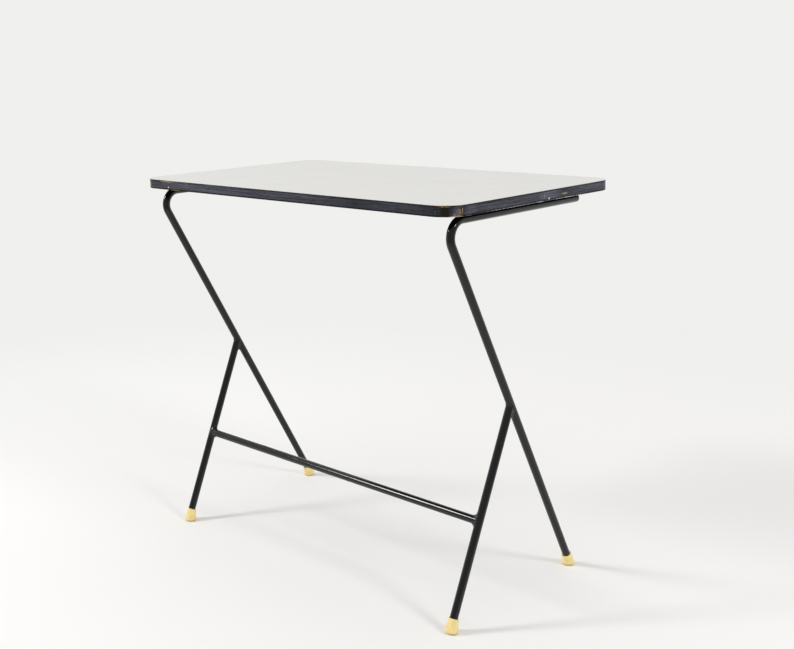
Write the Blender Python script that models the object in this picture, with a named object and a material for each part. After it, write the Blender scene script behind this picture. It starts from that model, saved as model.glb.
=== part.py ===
"""Small side table: a laminate-faced board on two side frames of bent round steel rod.

X runs along the table, the front with the two bends faces -Y, and the floor is z = 0. Each side frame is
one bent rod (run, bend and back leg) with a strut to the front foot, and a cross bar joins the two struts.
"""

import math

import bmesh
import bpy
from mathutils import Matrix, Vector

# Driving dimensions, in metres and degrees.
# The top
TABLE_LENGTH = 0.575
TABLE_DEPTH = 0.323
TABLE_HEIGHT = 0.522
BOARD_THICKNESS = 0.012
LAMINATE_THICKNESS = 0.0008
CORNER_RADIUS = 0.0285
BOARD_EDGE_ROUND = 0.0006
LAMINATE_EDGE_ROUND = 0.0002
# The rods
ROD_DIAMETER = 0.010
BEND_RADIUS = 0.020
FRAME_INSET = 0.0205
LEG_SLANT = 27.4
TOE_IN = 0.0053
BEND_SETBACK = 0.019
RUN_BACK_SETBACK = 0.0555
RUN_END_ROUND = 0.0008
STRUT_JOINT_HEIGHT = 0.2625
FRONT_FOOT_SETBACK = 0.018
BAR_HEIGHT = 0.1275
WELD_CROWN_SIZE = 0.006
WELD_FLANK_SIZE = 0.003
WELD_BULGE = 0.0005
# The fixing tabs under the top
TAB_THICKNESS = 0.0015
TAB_WIDTH = 0.016
TAB_REACH = 0.024
TAB_OVERLAP = 0.003
TAB_FROM_BEND = 0.030
TAB_FROM_RUN_END = 0.030
TAB_HOLE_FROM_ROD = 0.016
TAB_WELD_LENGTH = 0.012
TAB_WELD_SPREAD = 60.0
TAB_WELD_SIZE = 0.0015
# The wood screws
SCREW_SHANK_DIAMETER = 0.0035
SCREW_LENGTH = 0.0105
SCREW_POINT_LENGTH = 0.003
SCREW_HEAD_DIAMETER = 0.007
SCREW_HEAD_HEIGHT = 0.0024
SCREW_SLOT_WIDTH = 0.0009
SCREW_SLOT_DEPTH = 0.0011
PILOT_SPARE_DEPTH = 0.0005
SCREW_SLOT_TURN = {"front": 0.6, "back": 2.0}
# The rubber feet
FOOT_HEIGHT = 0.0192
FOOT_WALL = 0.0014
FOOT_FLARE = 0.0016
FOOT_SOLE = 0.006
FOOT_WORN_AWAY = 0.0005
FOOT_CREEP = 0.0025
FOOT_RIM_ROUND = 0.0028
FOOT_LIP_ROUND = 0.0005
# Clearance between pieces that fit together
FIT_GAP = 0.0003

# Facets
ROD_SIDES = 24
BEND_STEPS = 14
CORNER_STEPS = 14
WELD_STEPS = 60
TURNED_STEPS = 20
ROUND_STEPS = 4

# Places worked out from the driving dimensions
ROD_RADIUS = ROD_DIAMETER / 2
BOARD_TOP = TABLE_HEIGHT - LAMINATE_THICKNESS
BOARD_UNDERSIDE = BOARD_TOP - BOARD_THICKNESS
TAB_UNDERSIDE = BOARD_UNDERSIDE - FIT_GAP - TAB_THICKNESS
SCREW_SEAT = TAB_UNDERSIDE - FIT_GAP
RUN_HEIGHT = TAB_UNDERSIDE - FIT_GAP - ROD_RADIUS
RUN_X = TABLE_LENGTH / 2 - FRAME_INSET
RUN_BACK_Y = TABLE_DEPTH / 2 - RUN_BACK_SETBACK
BEND_CENTRE_Y = -TABLE_DEPTH / 2 + BEND_SETBACK + ROD_RADIUS + BEND_RADIUS
SLANT = math.radians(LEG_SLANT)
LEAN = math.asin(TOE_IN / RUN_HEIGHT)
UP = Vector((0, 0, 1))
LEG_DIRECTION = Vector((0, math.sin(SLANT), -math.cos(SLANT)))
SIDES = {"left": -1, "right": 1}


def clear_scene():
    """Remove every object, so that the file holds only the table."""
    for item in list(bpy.data.objects):
        bpy.data.objects.remove(item)


def make_material(name, colour, roughness, metallic=0.0):
    """Return a Principled BSDF material with one linear colour."""
    material = bpy.data.materials.new(name)
    material.use_nodes = True
    shader = material.node_tree.nodes["Principled BSDF"]
    shader.inputs["Base Color"].default_value = (*colour, 1.0)
    shader.inputs["Roughness"].default_value = roughness
    shader.inputs["Metallic"].default_value = metallic
    return material


def add_piece(name, mesh_data, material, parent=None, matrix=None):
    """Turn a bmesh into a named object with its faces out and its round faces smooth."""
    bmesh.ops.recalc_face_normals(mesh_data, faces=mesh_data.faces)
    mesh = bpy.data.meshes.new(name)
    mesh_data.to_mesh(mesh)
    mesh_data.free()
    mesh.shade_smooth()
    mesh.set_sharp_from_angle(angle=math.radians(35))
    mesh.materials.append(material)
    piece = bpy.data.objects.new(name, mesh)
    bpy.context.collection.objects.link(piece)
    piece.parent = parent
    if matrix is not None:
        piece.location, piece.rotation_euler = matrix.to_translation(), matrix.to_euler()
    return piece


def cut(piece, cutter, name):
    """Cut a piece with a guide object that stays out of the model."""
    cutter.hide_render = True
    cutter.display_type = "WIRE"
    modifier = piece.modifiers.new(name, "BOOLEAN")
    modifier.operation = "DIFFERENCE"
    modifier.solver = "EXACT"
    modifier.object = cutter


def along(start, direction):
    """Return the matrix that puts local +Z along a direction from a start point."""
    return Matrix.Translation(start) @ direction.to_track_quat("Z", "Y").to_matrix().to_4x4()


def extrude_loop(mesh_data, edges, offset):
    """Extrude a loop of edges by an offset and return the new loop's edges."""
    made = bmesh.ops.extrude_edge_only(mesh_data, edges=edges)["geom"]
    verts = [item for item in made if isinstance(item, bmesh.types.BMVert)]
    bmesh.ops.translate(mesh_data, verts=verts, vec=offset)
    return [item for item in made if isinstance(item, bmesh.types.BMEdge)]


def cylinder(radius, length):
    """Return a closed cylinder from z = 0 up to its length."""
    mesh_data = bmesh.new()
    bmesh.ops.create_cone(
        mesh_data, cap_ends=True, segments=ROD_SIDES, radius1=radius, radius2=radius, depth=length,
        matrix=Matrix.Translation((0, 0, length / 2)),
    )
    return mesh_data


def turned(profile, steps):
    """Spin a profile of (radius, height) points about Z into a closed solid."""
    mesh_data = bmesh.new()
    verts = [mesh_data.verts.new((radius, 0, height)) for radius, height in profile]
    edges = [mesh_data.edges.new(pair) for pair in zip(verts, verts[1:])]
    bmesh.ops.spin(
        mesh_data, geom=verts + edges, cent=(0, 0, 0), axis=(0, 0, 1), angle=math.tau, steps=steps,
        use_merge=True,
    )
    bmesh.ops.remove_doubles(mesh_data, verts=mesh_data.verts, dist=0.00001)
    return mesh_data


def arc(centre, radius, start, end, steps):
    """Return (radius, height) points on an arc, with its angles in degrees."""
    turns = [math.radians(start + (end - start) * step / steps) for step in range(steps + 1)]
    return [(centre[0] + radius * math.cos(turn), centre[1] + radius * math.sin(turn)) for turn in turns]


def rounded_slab(bottom, top):
    """Return the top's outline with its four round corners, extruded between two heights."""
    mesh_data = bmesh.new()
    half_length, half_depth = TABLE_LENGTH / 2, TABLE_DEPTH / 2
    corners = [(-half_length, -half_depth), (half_length, -half_depth), (half_length, half_depth),
               (-half_length, half_depth)]
    face = mesh_data.faces.new([mesh_data.verts.new((x, y, bottom)) for x, y in corners])
    bmesh.ops.bevel(
        mesh_data, geom=list(face.verts), offset=CORNER_RADIUS, offset_type="OFFSET", segments=CORNER_STEPS,
        profile=0.5, affect="VERTICES", clamp_overlap=True,
    )
    made = bmesh.ops.extrude_face_region(mesh_data, geom=list(mesh_data.faces))["geom"]
    verts = [item for item in made if isinstance(item, bmesh.types.BMVert)]
    bmesh.ops.translate(mesh_data, verts=verts, vec=(0, 0, top - bottom))
    return mesh_data


def round_rim(mesh_data, height, width):
    """Round the outer edges that lie at one height."""
    rim = [edge for edge in mesh_data.edges if all(abs(vert.co.z - height) < 0.00001 for vert in edge.verts)]
    bmesh.ops.bevel(
        mesh_data, geom=rim, offset=width, offset_type="OFFSET", segments=2, profile=0.5, affect="EDGES",
    )


def leg_point(height):
    """Return the point of the leg's axis at a height, in the side frame's own plane."""
    drop = (RUN_HEIGHT - height) / math.cos(LEAN)
    start = bend_end()
    return start + LEG_DIRECTION * ((drop + start.z) / math.cos(SLANT))


def bend_end():
    """Return the point where the bend runs out into the straight leg."""
    return Vector((0, BEND_CENTRE_Y - BEND_RADIUS * math.cos(SLANT), -BEND_RADIUS * (1 + math.sin(SLANT))))


def strut_foot():
    """Return the point where the strut's axis meets the floor, in the side frame's plane."""
    return Vector((0, -TABLE_DEPTH / 2 + FRONT_FOOT_SETBACK, -RUN_HEIGHT / math.cos(LEAN)))


def strut_direction():
    """Return the direction from the strut's joint down to the front foot."""
    return (strut_foot() - leg_point(STRUT_JOINT_HEIGHT)).normalized()


def strut_point(height):
    """Return the point of the strut's axis at a height, in the side frame's plane."""
    direction = strut_direction()
    drop = height / math.cos(LEAN)
    return strut_foot() + direction * (drop / direction.z)


def add_side_frame(side):
    """Add the empty that carries one side frame: it lies on the run's axis and leans in by the toe-in."""
    sign = SIDES[side]
    empty = bpy.data.objects.new(side + "_frame", None)
    empty.empty_display_size = 0.05
    empty.location = (sign * RUN_X, 0, RUN_HEIGHT)
    empty.rotation_euler = (0, sign * LEAN, 0)
    bpy.context.collection.objects.link(empty)
    return empty


def frame_matrix(side):
    """Return the world matrix of a side frame."""
    sign = SIDES[side]
    return Matrix.Translation((sign * RUN_X, 0, RUN_HEIGHT)) @ Matrix.Rotation(sign * LEAN, 4, "Y")


def rod_end(floor_point, direction):
    """Return where a rod stops inside its foot, above the rubber sole."""
    return floor_point - direction * (FOOT_SOLE + FIT_GAP)


def add_leg(side, frame, steel):
    """Add the bent rod: the run under the top, the bend at the front and the slanting leg."""
    mesh_data = bmesh.new()
    facing = Matrix.Translation((0, RUN_BACK_Y, 0)) @ Matrix.Rotation(math.pi / 2, 4, "X")
    bmesh.ops.create_circle(mesh_data, segments=ROD_SIDES, radius=ROD_RADIUS, matrix=facing)
    loop = extrude_loop(mesh_data, list(mesh_data.edges), (0, BEND_CENTRE_Y - RUN_BACK_Y, 0))
    spun = bmesh.ops.spin(
        mesh_data, geom=loop, cent=(0, BEND_CENTRE_Y, -BEND_RADIUS), axis=(1, 0, 0),
        angle=math.pi / 2 + SLANT, steps=BEND_STEPS,
    )["geom_last"]
    loop = [item for item in spun if isinstance(item, bmesh.types.BMEdge)]
    extrude_loop(mesh_data, loop, rod_end(leg_point(0), LEG_DIRECTION) - bend_end())
    open_edges = [edge for edge in mesh_data.edges if edge.is_boundary]
    bmesh.ops.holes_fill(mesh_data, edges=open_edges)
    run_end = [edge for edge in mesh_data.edges if all(vert.co.y > RUN_BACK_Y - 0.00001 for vert in edge.verts)]
    run_end = [edge for edge in run_end if all(abs(vert.co.z) < 2 * ROD_RADIUS for vert in edge.verts)]
    bmesh.ops.bevel(
        mesh_data, geom=run_end, offset=RUN_END_ROUND, offset_type="OFFSET", segments=2, profile=0.5,
        affect="EDGES",
    )
    return add_piece(side + "_leg", mesh_data, steel, frame)


def add_strut(side, frame, steel):
    """Add the strut from the leg to the front foot, its top coped to lie against the leg."""
    joint, direction = leg_point(STRUT_JOINT_HEIGHT), strut_direction()
    length = (rod_end(strut_foot(), direction) - joint).length
    strut = add_piece(side + "_strut", cylinder(ROD_RADIUS, length), steel, frame, along(joint, direction))
    reach = 6 * ROD_DIAMETER
    start = joint - LEG_DIRECTION * reach / 2
    cope = add_piece(
        side + "_leg_cope", cylinder(ROD_RADIUS + FIT_GAP, reach), steel, frame, along(start, LEG_DIRECTION)
    )
    cut(strut, cope, "Cope against leg")
    return strut


def add_cross_bar(steel):
    """Add the bar between the struts, each end coped to lie against its strut."""
    ends = {side: frame_matrix(side) @ strut_point(BAR_HEIGHT) for side in SIDES}
    span = ends["right"] - ends["left"]
    bar = add_piece("cross_bar", cylinder(ROD_RADIUS, span.length), steel, None, along(ends["left"], span))
    reach = 6 * ROD_DIAMETER
    for side, end in ends.items():
        direction = frame_matrix(side).to_3x3() @ strut_direction()
        cope = add_piece(
            side + "_strut_cope", cylinder(ROD_RADIUS + FIT_GAP, reach), steel, None,
            along(end - direction * reach / 2, direction),
        )
        cut(bar, cope, "Cope against %s strut" % side)
    return ends


def weld_section(flat_normal, flat_branch, size):
    """Return one section of a fillet as (outward from the branch's axis, along the branch) points.

    The arguments are the section's two directions seen square to the main rod, where that rod is a circle.
    The root lies where the two rods' seats cross. One toe is the size away from it along each seat, and the
    crown bulges between them.
    """
    seat = ROD_RADIUS + FIT_GAP

    def on_main(angle):
        """Return where a ray from the crossing of the axes meets the main rod's seat."""
        ray = flat_normal * math.cos(angle) + flat_branch * math.sin(angle)
        reach = seat / max(ray.length, 0.000001)
        return Vector((reach * math.cos(angle), reach * math.sin(angle)))

    lean = flat_branch.dot(flat_normal)
    inside = lean**2 - flat_branch.length_squared * (flat_normal.length_squared - 1)
    along_branch = seat * (math.sqrt(max(inside, 0)) - lean) / flat_branch.length_squared
    root = Vector((seat, along_branch))

    def walk(distance):
        """Return the point of the main rod's seat at a distance from the root."""
        near = math.atan2(root.y, root.x)
        far = near - math.radians(80)
        for _ in range(30):
            middle = (near + far) / 2
            if (on_main(middle) - root).length > distance:
                far = middle
            else:
                near = middle
        return on_main(near)

    toe = walk(size)
    far_toe = root + Vector((0, size))
    chord = far_toe - toe
    outward = Vector((chord.y, -chord.x)).normalized()
    rise = max((root - toe).dot(outward), 0) + WELD_BULGE
    crown = []
    for part in (0.25, 0.5, 0.75):
        point = toe + chord * part + outward * rise * 4 * part * (1 - part)
        off_main = (flat_normal * point.x + flat_branch * point.y).length
        crown.append(point * max((seat + WELD_BULGE) / off_main, 1))
    return [root, walk(size / 3), walk(size * 2 / 3), toe, *crown, far_toe, root.lerp(far_toe, 0.5)]


def weld_ring(main, branch):
    """Return a fillet bead swept round the saddle line where a branch rod meets a main rod.

    Both axes pass through the origin, and each section lies in its own half-plane from the branch's axis. The
    bead is fullest in the two corners between the rods and thinner on their flanks.
    """
    side_way = main.cross(branch).normalized()
    front_way = side_way.cross(branch)
    flat_branch = branch - main * branch.dot(main)
    mesh_data = bmesh.new()
    sections = []
    for step in range(WELD_STEPS):
        turn = math.tau * (step + 0.5) / WELD_STEPS
        normal = front_way * math.cos(turn) + side_way * math.sin(turn)
        size = WELD_FLANK_SIZE + (WELD_CROWN_SIZE - WELD_FLANK_SIZE) * math.cos(turn) ** 2
        outline = weld_section(normal - main * normal.dot(main), flat_branch, size)
        sections.append([mesh_data.verts.new(normal * out + branch * up) for out, up in outline])
    for here, after in zip(sections, sections[1:] + sections[:1]):
        for corner in range(len(here)):
            following = (corner + 1) % len(here)
            mesh_data.faces.new((here[corner], here[following], after[following], after[corner]))
    return mesh_data


def add_welds(side, frame, steel, bar_end):
    """Add the fillet bead at the strut's top and the one at the cross bar's end."""
    joint = leg_point(STRUT_JOINT_HEIGHT)
    bead = weld_ring(LEG_DIRECTION, strut_direction())
    add_piece(side + "_strut_weld", bead, steel, frame, Matrix.Translation(joint))
    strut_way = frame_matrix(side).to_3x3() @ strut_direction()
    bead = weld_ring(strut_way, Vector((-SIDES[side], 0, 0)))
    add_piece(side + "_bar_weld", bead, steel, None, Matrix.Translation(bar_end))


def foot_mesh(floor_matrix, inward):
    """Return a blind rubber cap on the local Z axis, with the sole cut level with the floor.

    The cap flares from its lip to its base, and the rod's end stands in its socket. Under load the base has
    crept inwards, towards the middle of the table.
    """
    socket = ROD_RADIUS + FIT_GAP
    lip = socket + FOOT_WALL
    base = lip + FOOT_FLARE
    bottom = -FOOT_WORN_AWAY
    profile = [(0, bottom)]
    profile += arc((base - FOOT_RIM_ROUND, bottom + FOOT_RIM_ROUND), FOOT_RIM_ROUND, -90, 0, ROUND_STEPS)
    profile += arc((lip - FOOT_LIP_ROUND, FOOT_HEIGHT - FOOT_LIP_ROUND), FOOT_LIP_ROUND, 0, 90, 2)
    profile += [(socket, FOOT_HEIGHT), (socket, FOOT_SOLE), (0, FOOT_SOLE)]
    mesh_data = turned(profile, ROD_SIDES)
    floor = floor_matrix.inverted()
    creep = floor.to_3x3() @ inward * FOOT_CREEP
    for vert in mesh_data.verts:
        if vert.co.z < FOOT_SOLE - FIT_GAP or vert.co.xy.length > socket + FIT_GAP:
            vert.co += creep * (1 - vert.co.z / FOOT_HEIGHT)
    bmesh.ops.bisect_plane(
        mesh_data, geom=[*mesh_data.verts, *mesh_data.edges, *mesh_data.faces], dist=0.000001,
        plane_co=floor.to_translation(), plane_no=floor.to_3x3() @ UP, clear_inner=True,
    )
    open_edges = [edge for edge in mesh_data.edges if edge.is_boundary]
    bmesh.ops.holes_fill(mesh_data, edges=open_edges)
    return mesh_data


def add_feet(side, frame, rubber):
    """Add the rubber caps on the strut's and the leg's ends."""
    ends = {"front": (strut_foot(), -strut_direction(), 1), "back": (leg_point(0), -LEG_DIRECTION, -1)}
    for place, (floor_point, upward, inward) in ends.items():
        matrix = along(floor_point, upward)
        mesh_data = foot_mesh(frame_matrix(side) @ matrix, Vector((0, inward, 0)))
        add_piece("%s_%s_foot" % (place, side), mesh_data, rubber, frame, matrix)


def tab_places():
    """Return the middle of each fixing tab along the run."""
    return {"front": BEND_CENTRE_Y + TAB_FROM_BEND, "back": RUN_BACK_Y - TAB_FROM_RUN_END}


def screw_place(side, along_run):
    """Return where a screw's head seats against its tab."""
    return Vector((SIDES[side] * (RUN_X - TAB_HOLE_FROM_ROD), along_run, SCREW_SEAT))


def tab_mesh():
    """Return a flat tab whose round end points along +X and whose square end lies over the rod."""
    mesh_data = bmesh.new()
    half = TAB_WIDTH / 2
    corners = [(-TAB_OVERLAP, -half), (TAB_REACH, -half), (TAB_REACH, half), (-TAB_OVERLAP, half)]
    verts = [mesh_data.verts.new((x, y, 0)) for x, y in corners]
    mesh_data.faces.new(verts)
    bmesh.ops.bevel(
        mesh_data, geom=verts[1:3], offset=half * 0.999, offset_type="OFFSET", segments=8, profile=0.5,
        affect="VERTICES",
    )
    made = bmesh.ops.extrude_face_region(mesh_data, geom=list(mesh_data.faces))["geom"]
    moved = [item for item in made if isinstance(item, bmesh.types.BMVert)]
    bmesh.ops.translate(mesh_data, verts=moved, vec=(0, 0, TAB_THICKNESS))
    return mesh_data


def add_tabs(side, steel, board):
    """Add the tabs that carry the board, with a screw hole through each and on into the board."""
    facing = 0 if side == "left" else math.pi
    for place, along_run in tab_places().items():
        matrix = Matrix.Translation((SIDES[side] * RUN_X, along_run, TAB_UNDERSIDE))
        matrix = matrix @ Matrix.Rotation(facing, 4, "Z")
        name = "%s_%s_tab" % (place, side)
        tab = add_piece(name, tab_mesh(), steel, None, matrix)
        depth = SCREW_LENGTH + PILOT_SPARE_DEPTH
        start = screw_place(side, along_run)
        hole = add_piece(
            name + "_hole", cylinder(SCREW_SHANK_DIAMETER / 2 + FIT_GAP, depth), steel, None,
            Matrix.Translation(start),
        )
        cut(tab, hole, "Screw hole")
        cut(board, hole, "Pilot hole " + name)


def tab_weld_section():
    """Return the (across, up) outline of the fillet between the run's flank and a tab's underside."""
    seat = ROD_RADIUS + FIT_GAP
    ceiling = ROD_RADIUS
    first = 90 - math.degrees(math.acos(ceiling / seat))
    outline = arc((0, 0), seat, first, 90 - TAB_WELD_SPREAD, ROUND_STEPS)
    low_toe = Vector(outline[-1])
    high_toe = Vector((low_toe.x + TAB_WELD_SIZE, ceiling))
    outward = Vector((high_toe.y - low_toe.y, low_toe.x - high_toe.x)).normalized()
    outline += [tuple(low_toe.lerp(high_toe, part) + outward * WELD_BULGE) for part in (0.35, 0.7)]
    return [*outline, tuple(high_toe)]


def add_tab_welds(side, steel):
    """Add the beads that hold one side's tabs to the run, on the side away from the table's end."""
    inward = -SIDES[side]
    for place, along_run in tab_places().items():
        mesh_data = bmesh.new()
        start = -TAB_WELD_LENGTH / 2
        outline = [mesh_data.verts.new((inward * across, start, up)) for across, up in tab_weld_section()]
        face = mesh_data.faces.new(outline)
        made = bmesh.ops.extrude_face_region(mesh_data, geom=[face])["geom"]
        moved = [item for item in made if isinstance(item, bmesh.types.BMVert)]
        bmesh.ops.translate(mesh_data, verts=moved, vec=(0, TAB_WELD_LENGTH, 0))
        seat = Matrix.Translation((SIDES[side] * RUN_X, along_run, RUN_HEIGHT))
        add_piece("%s_%s_tab_weld" % (place, side), mesh_data, steel, None, seat)


def screw_profile():
    """Return the (radius, height) outline of a round-head wood screw, its head's seat at height zero."""
    shank = SCREW_SHANK_DIAMETER / 2
    head = SCREW_HEAD_DIAMETER / 2
    sphere = (head**2 + SCREW_HEAD_HEIGHT**2) / (2 * SCREW_HEAD_HEIGHT)
    spread = math.degrees(math.asin(head / sphere))
    dome = arc((0, sphere - SCREW_HEAD_HEIGHT), sphere, -90, -90 + spread, ROUND_STEPS)
    dome[0] = (0, -SCREW_HEAD_HEIGHT)
    return [*dome, (shank, 0), (shank, SCREW_LENGTH - SCREW_POINT_LENGTH), (0, SCREW_LENGTH)]


def add_screws(side, zinc):
    """Add one side's slotted wood screws, each with its head against its tab."""
    for place, along_run in tab_places().items():
        name = "%s_%s_screw" % (place, side)
        seat = Matrix.Translation(screw_place(side, along_run))
        turn = Matrix.Rotation(SCREW_SLOT_TURN[place], 4, "Z")
        screw = add_piece(name, turned(screw_profile(), TURNED_STEPS), zinc, None, seat @ turn)
        slot = bmesh.new()
        size = Matrix.Diagonal((2 * SCREW_HEAD_DIAMETER, SCREW_SLOT_WIDTH, 2 * SCREW_SLOT_DEPTH, 1))
        bmesh.ops.create_cube(slot, size=1, matrix=Matrix.Translation((0, 0, -SCREW_HEAD_HEIGHT)) @ size)
        cut(screw, add_piece(name + "_slot", slot, zinc, None, seat @ turn), "Driver slot")


def add_top(paint, laminate):
    """Add the board with its black painted edge and the laminate sheet glued on it."""
    board = rounded_slab(BOARD_UNDERSIDE, BOARD_TOP)
    round_rim(board, BOARD_UNDERSIDE, BOARD_EDGE_ROUND)
    sheet = rounded_slab(BOARD_TOP, TABLE_HEIGHT)
    round_rim(sheet, TABLE_HEIGHT, LAMINATE_EDGE_ROUND)
    add_piece("top_laminate", sheet, laminate)
    return add_piece("top_board", board, paint)


def main():
    """Build the whole table."""
    clear_scene()
    paint = make_material("black_edge_paint", (0.045, 0.046, 0.055), 0.45)
    laminate = make_material("pale_grey_laminate", (0.72, 0.72, 0.71), 0.3)
    steel = make_material("black_lacquered_steel", (0.012, 0.011, 0.012), 0.22)
    zinc = make_material("zinc_plated_steel", (0.55, 0.55, 0.53), 0.35, 1.0)
    rubber = make_material("cream_rubber", (0.83, 0.66, 0.33), 0.6)
    board = add_top(paint, laminate)
    bar_ends = add_cross_bar(steel)
    for side in SIDES:
        frame = add_side_frame(side)
        add_leg(side, frame, steel)
        add_strut(side, frame, steel)
        add_welds(side, frame, steel, bar_ends[side])
        add_feet(side, frame, rubber)
        add_tabs(side, steel, board)
        add_tab_welds(side, steel)
        add_screws(side, zinc)


main()
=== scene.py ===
"""Small metal side table, dressed: a laminate-faced board on two side frames of bent steel rod.

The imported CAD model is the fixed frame. X runs along the table, its front faces -Y, and the floor is z = 0.
"""

import math

import bmesh
import bpy
import numpy
from bpy.props import FloatProperty, FloatVectorProperty, IntProperty, PointerProperty
from mathutils import Matrix, Vector, noise


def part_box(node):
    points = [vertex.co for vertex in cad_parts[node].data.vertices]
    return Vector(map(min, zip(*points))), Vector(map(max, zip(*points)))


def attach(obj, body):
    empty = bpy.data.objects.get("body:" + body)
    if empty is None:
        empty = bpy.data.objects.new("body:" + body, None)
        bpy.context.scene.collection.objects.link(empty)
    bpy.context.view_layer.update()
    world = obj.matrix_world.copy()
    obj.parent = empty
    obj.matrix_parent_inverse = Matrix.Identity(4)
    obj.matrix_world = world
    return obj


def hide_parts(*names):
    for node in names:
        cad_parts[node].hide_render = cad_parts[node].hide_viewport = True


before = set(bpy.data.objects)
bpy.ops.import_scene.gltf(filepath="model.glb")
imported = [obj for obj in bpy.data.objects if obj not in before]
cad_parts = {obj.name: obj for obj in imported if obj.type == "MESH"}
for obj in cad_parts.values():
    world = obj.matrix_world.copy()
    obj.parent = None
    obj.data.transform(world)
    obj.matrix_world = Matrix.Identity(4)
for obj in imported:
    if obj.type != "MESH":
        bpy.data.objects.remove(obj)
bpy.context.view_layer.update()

bl_info = {
    "name": "Small metal side table",
    "version": (1, 0, 0),
    "blender": (4, 5, 0),
    "location": "3D View > Sidebar > Side Table",
    "description": "Builds the finished pieces of a small rod-framed side table round its packed CAD frame",
    "category": "Object",
}

BODY = "root"
SIDES = {"left": -1, "right": 1}
PLACES = ("front", "back")
SMOOTH_ANGLE = math.radians(35)
MM = 0.001
# Places of a Mix node's sockets when it mixes colours
MIX_A, MIX_B, MIX_RESULT = 6, 7, 2
# The gap that the CAD solids keep where two pieces touch
CAD_GAP = 0.0003
# Points closer than these are doubles, on a finished piece and on a coarse or turned shape
DOUBLED, COARSE_DOUBLED = 0.000001, 0.000005
# The camera's place in metres and its yaw, pitch and roll in degrees, solved from the photo's edges
CAMERA_PLACE = (1.05396, -1.05727, 0.67831)
CAMERA_ANGLES = (43.48, 13.57, -1.49)
# Each lamp's place, and its width and height, in metres
LAMPS = {
    "left_lamp": ((-2.33, -2.2, 2.43), (0.6, 1.15)),
    "right_lamp": ((3.3, 0.08, 2.4), (0.6, 1.05)),
}
# The middle of the table, which the lamps face
TABLE_MIDDLE = Vector((0, 0, 0.25))
# The way from the table to the pale backdrop, which gloss shows
BACKDROP_WAY = (-0.69, 0.73, -0.3)


def linear(hex_colour):
    """Turn an sRGB hex colour into linear red, green and blue."""
    parts = [int(hex_colour[place:place + 2], 16) / 255 for place in (1, 3, 5)]
    return tuple(part / 12.92 if part <= 0.04045 else ((part + 0.055) / 1.055) ** 2.4 for part in parts)


def size(name, description, default, **settings):
    """Return a length property in metres."""
    return FloatProperty(
        name=name, description=description, default=default, min=0.0, subtype="DISTANCE", unit="LENGTH",
        precision=4, **settings,
    )


def colour(name, description, hex_colour):
    """Return a colour property from an sRGB hex value."""
    return FloatVectorProperty(
        name=name, description=description, default=linear(hex_colour), min=0.0, max=1.0,
        subtype="COLOR", size=3,
    )


def box_size(node_name):
    """Return the size of a CAD node's box."""
    low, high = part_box(node_name)
    return high - low


class TopSettings(bpy.types.PropertyGroup):
    """Sizes and colours of the board and its laminate."""

    corner_radius: size("Corner radius", "Radius of the top's four corners", 0.0285)
    board_round: size("Lower edge round", "Round on the board's lower edge", 0.0004)
    laminate_round: size("Laminate edge round", "Round on the laminate's upper edge", 0.0002)
    mesh_step: size("Mesh step", "Length of one facet along the edge", 0.0006)
    laminate: colour("Laminate", "Printed face of the laminate", "#D9D8D5")
    laminate_core: colour("Laminate core", "Brown paper core that shows where the edge is worn", "#4A3423")
    paint: colour("Edge paint", "Black paint on the board's edge and underside", "#0F1012")
    dust: colour("Dust", "Grey bloom of dust and rubbing on the paint", "#777988")
    scuff: colour("Scuffs", "Small knocks rubbed down to pale primer", "#D9DCE2")
    bare_wood: colour("Bare plywood", "Wood that shows in the chips", "#BC9C6C")
    stain: colour("Stained corner", "Brown lacquer over the worn corner", "#1F1A12")


class RodSettings(bpy.types.PropertyGroup):
    """Sizes and colours of the steel rods and what is welded to them."""

    diameter: size("Rod diameter", "Diameter of the bare steel rods", box_size("cross_bar").z)
    coat: size("Lacquer coat", "Thickness of the lacquer that thickens the rods", 0.0002)
    bend_radius: size("Bend radius", "Radius of the bend on the rod's centre line", 0.020)
    inset: size("Frame inset", "From the top's end to the rod's centre line", 0.0205)
    slant: FloatProperty(
        name="Leg slant", description="Angle of the legs from upright", default=math.radians(27.4),
        subtype="ANGLE", unit="ROTATION",
    )
    toe_in: size("Toe-in", "How far the feet stand in from the runs", 0.0053)
    bend_setback: size("Bend setback", "From the top's front edge to the bend", 0.019)
    run_setback: size("Run setback", "From the top's back edge to the run's end", 0.0555)
    end_round: size("End round", "Round on the run's cut end", 0.0008)
    joint_height: size("Strut joint height", "Height at which the strut meets the leg", 0.2625)
    foot_setback: size("Front foot setback", "From the top's front edge to the front foot", 0.018)
    bar_height: size("Cross bar height", "Height of the cross bar's centre line", 0.1275)
    sides: IntProperty(name="Rod sides", description="Facets round a rod", default=48, min=12)
    bend_steps: IntProperty(name="Bend steps", description="Facets along a bend", default=40, min=4)
    strut_fillet: size("Strut fillet", "Hollow radius of the bead between strut and leg", 0.0038)
    bar_fillet: size("Bar fillet", "Hollow radius of the bead between bar and strut", 0.0055)
    ripple_height: size("Weld ripple height", "Full swing of the noise that ripples a weld bead", 0.0013)
    ripple_size: size("Weld ripple size", "Spacing of the ripples on a weld bead", 0.0026)
    lacquer: colour("Lacquer", "Black stoved lacquer on the steel", "#0D0C0E")
    chipped: colour("Chipped lacquer", "Bare steel in small chips", "#77726C")


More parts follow.
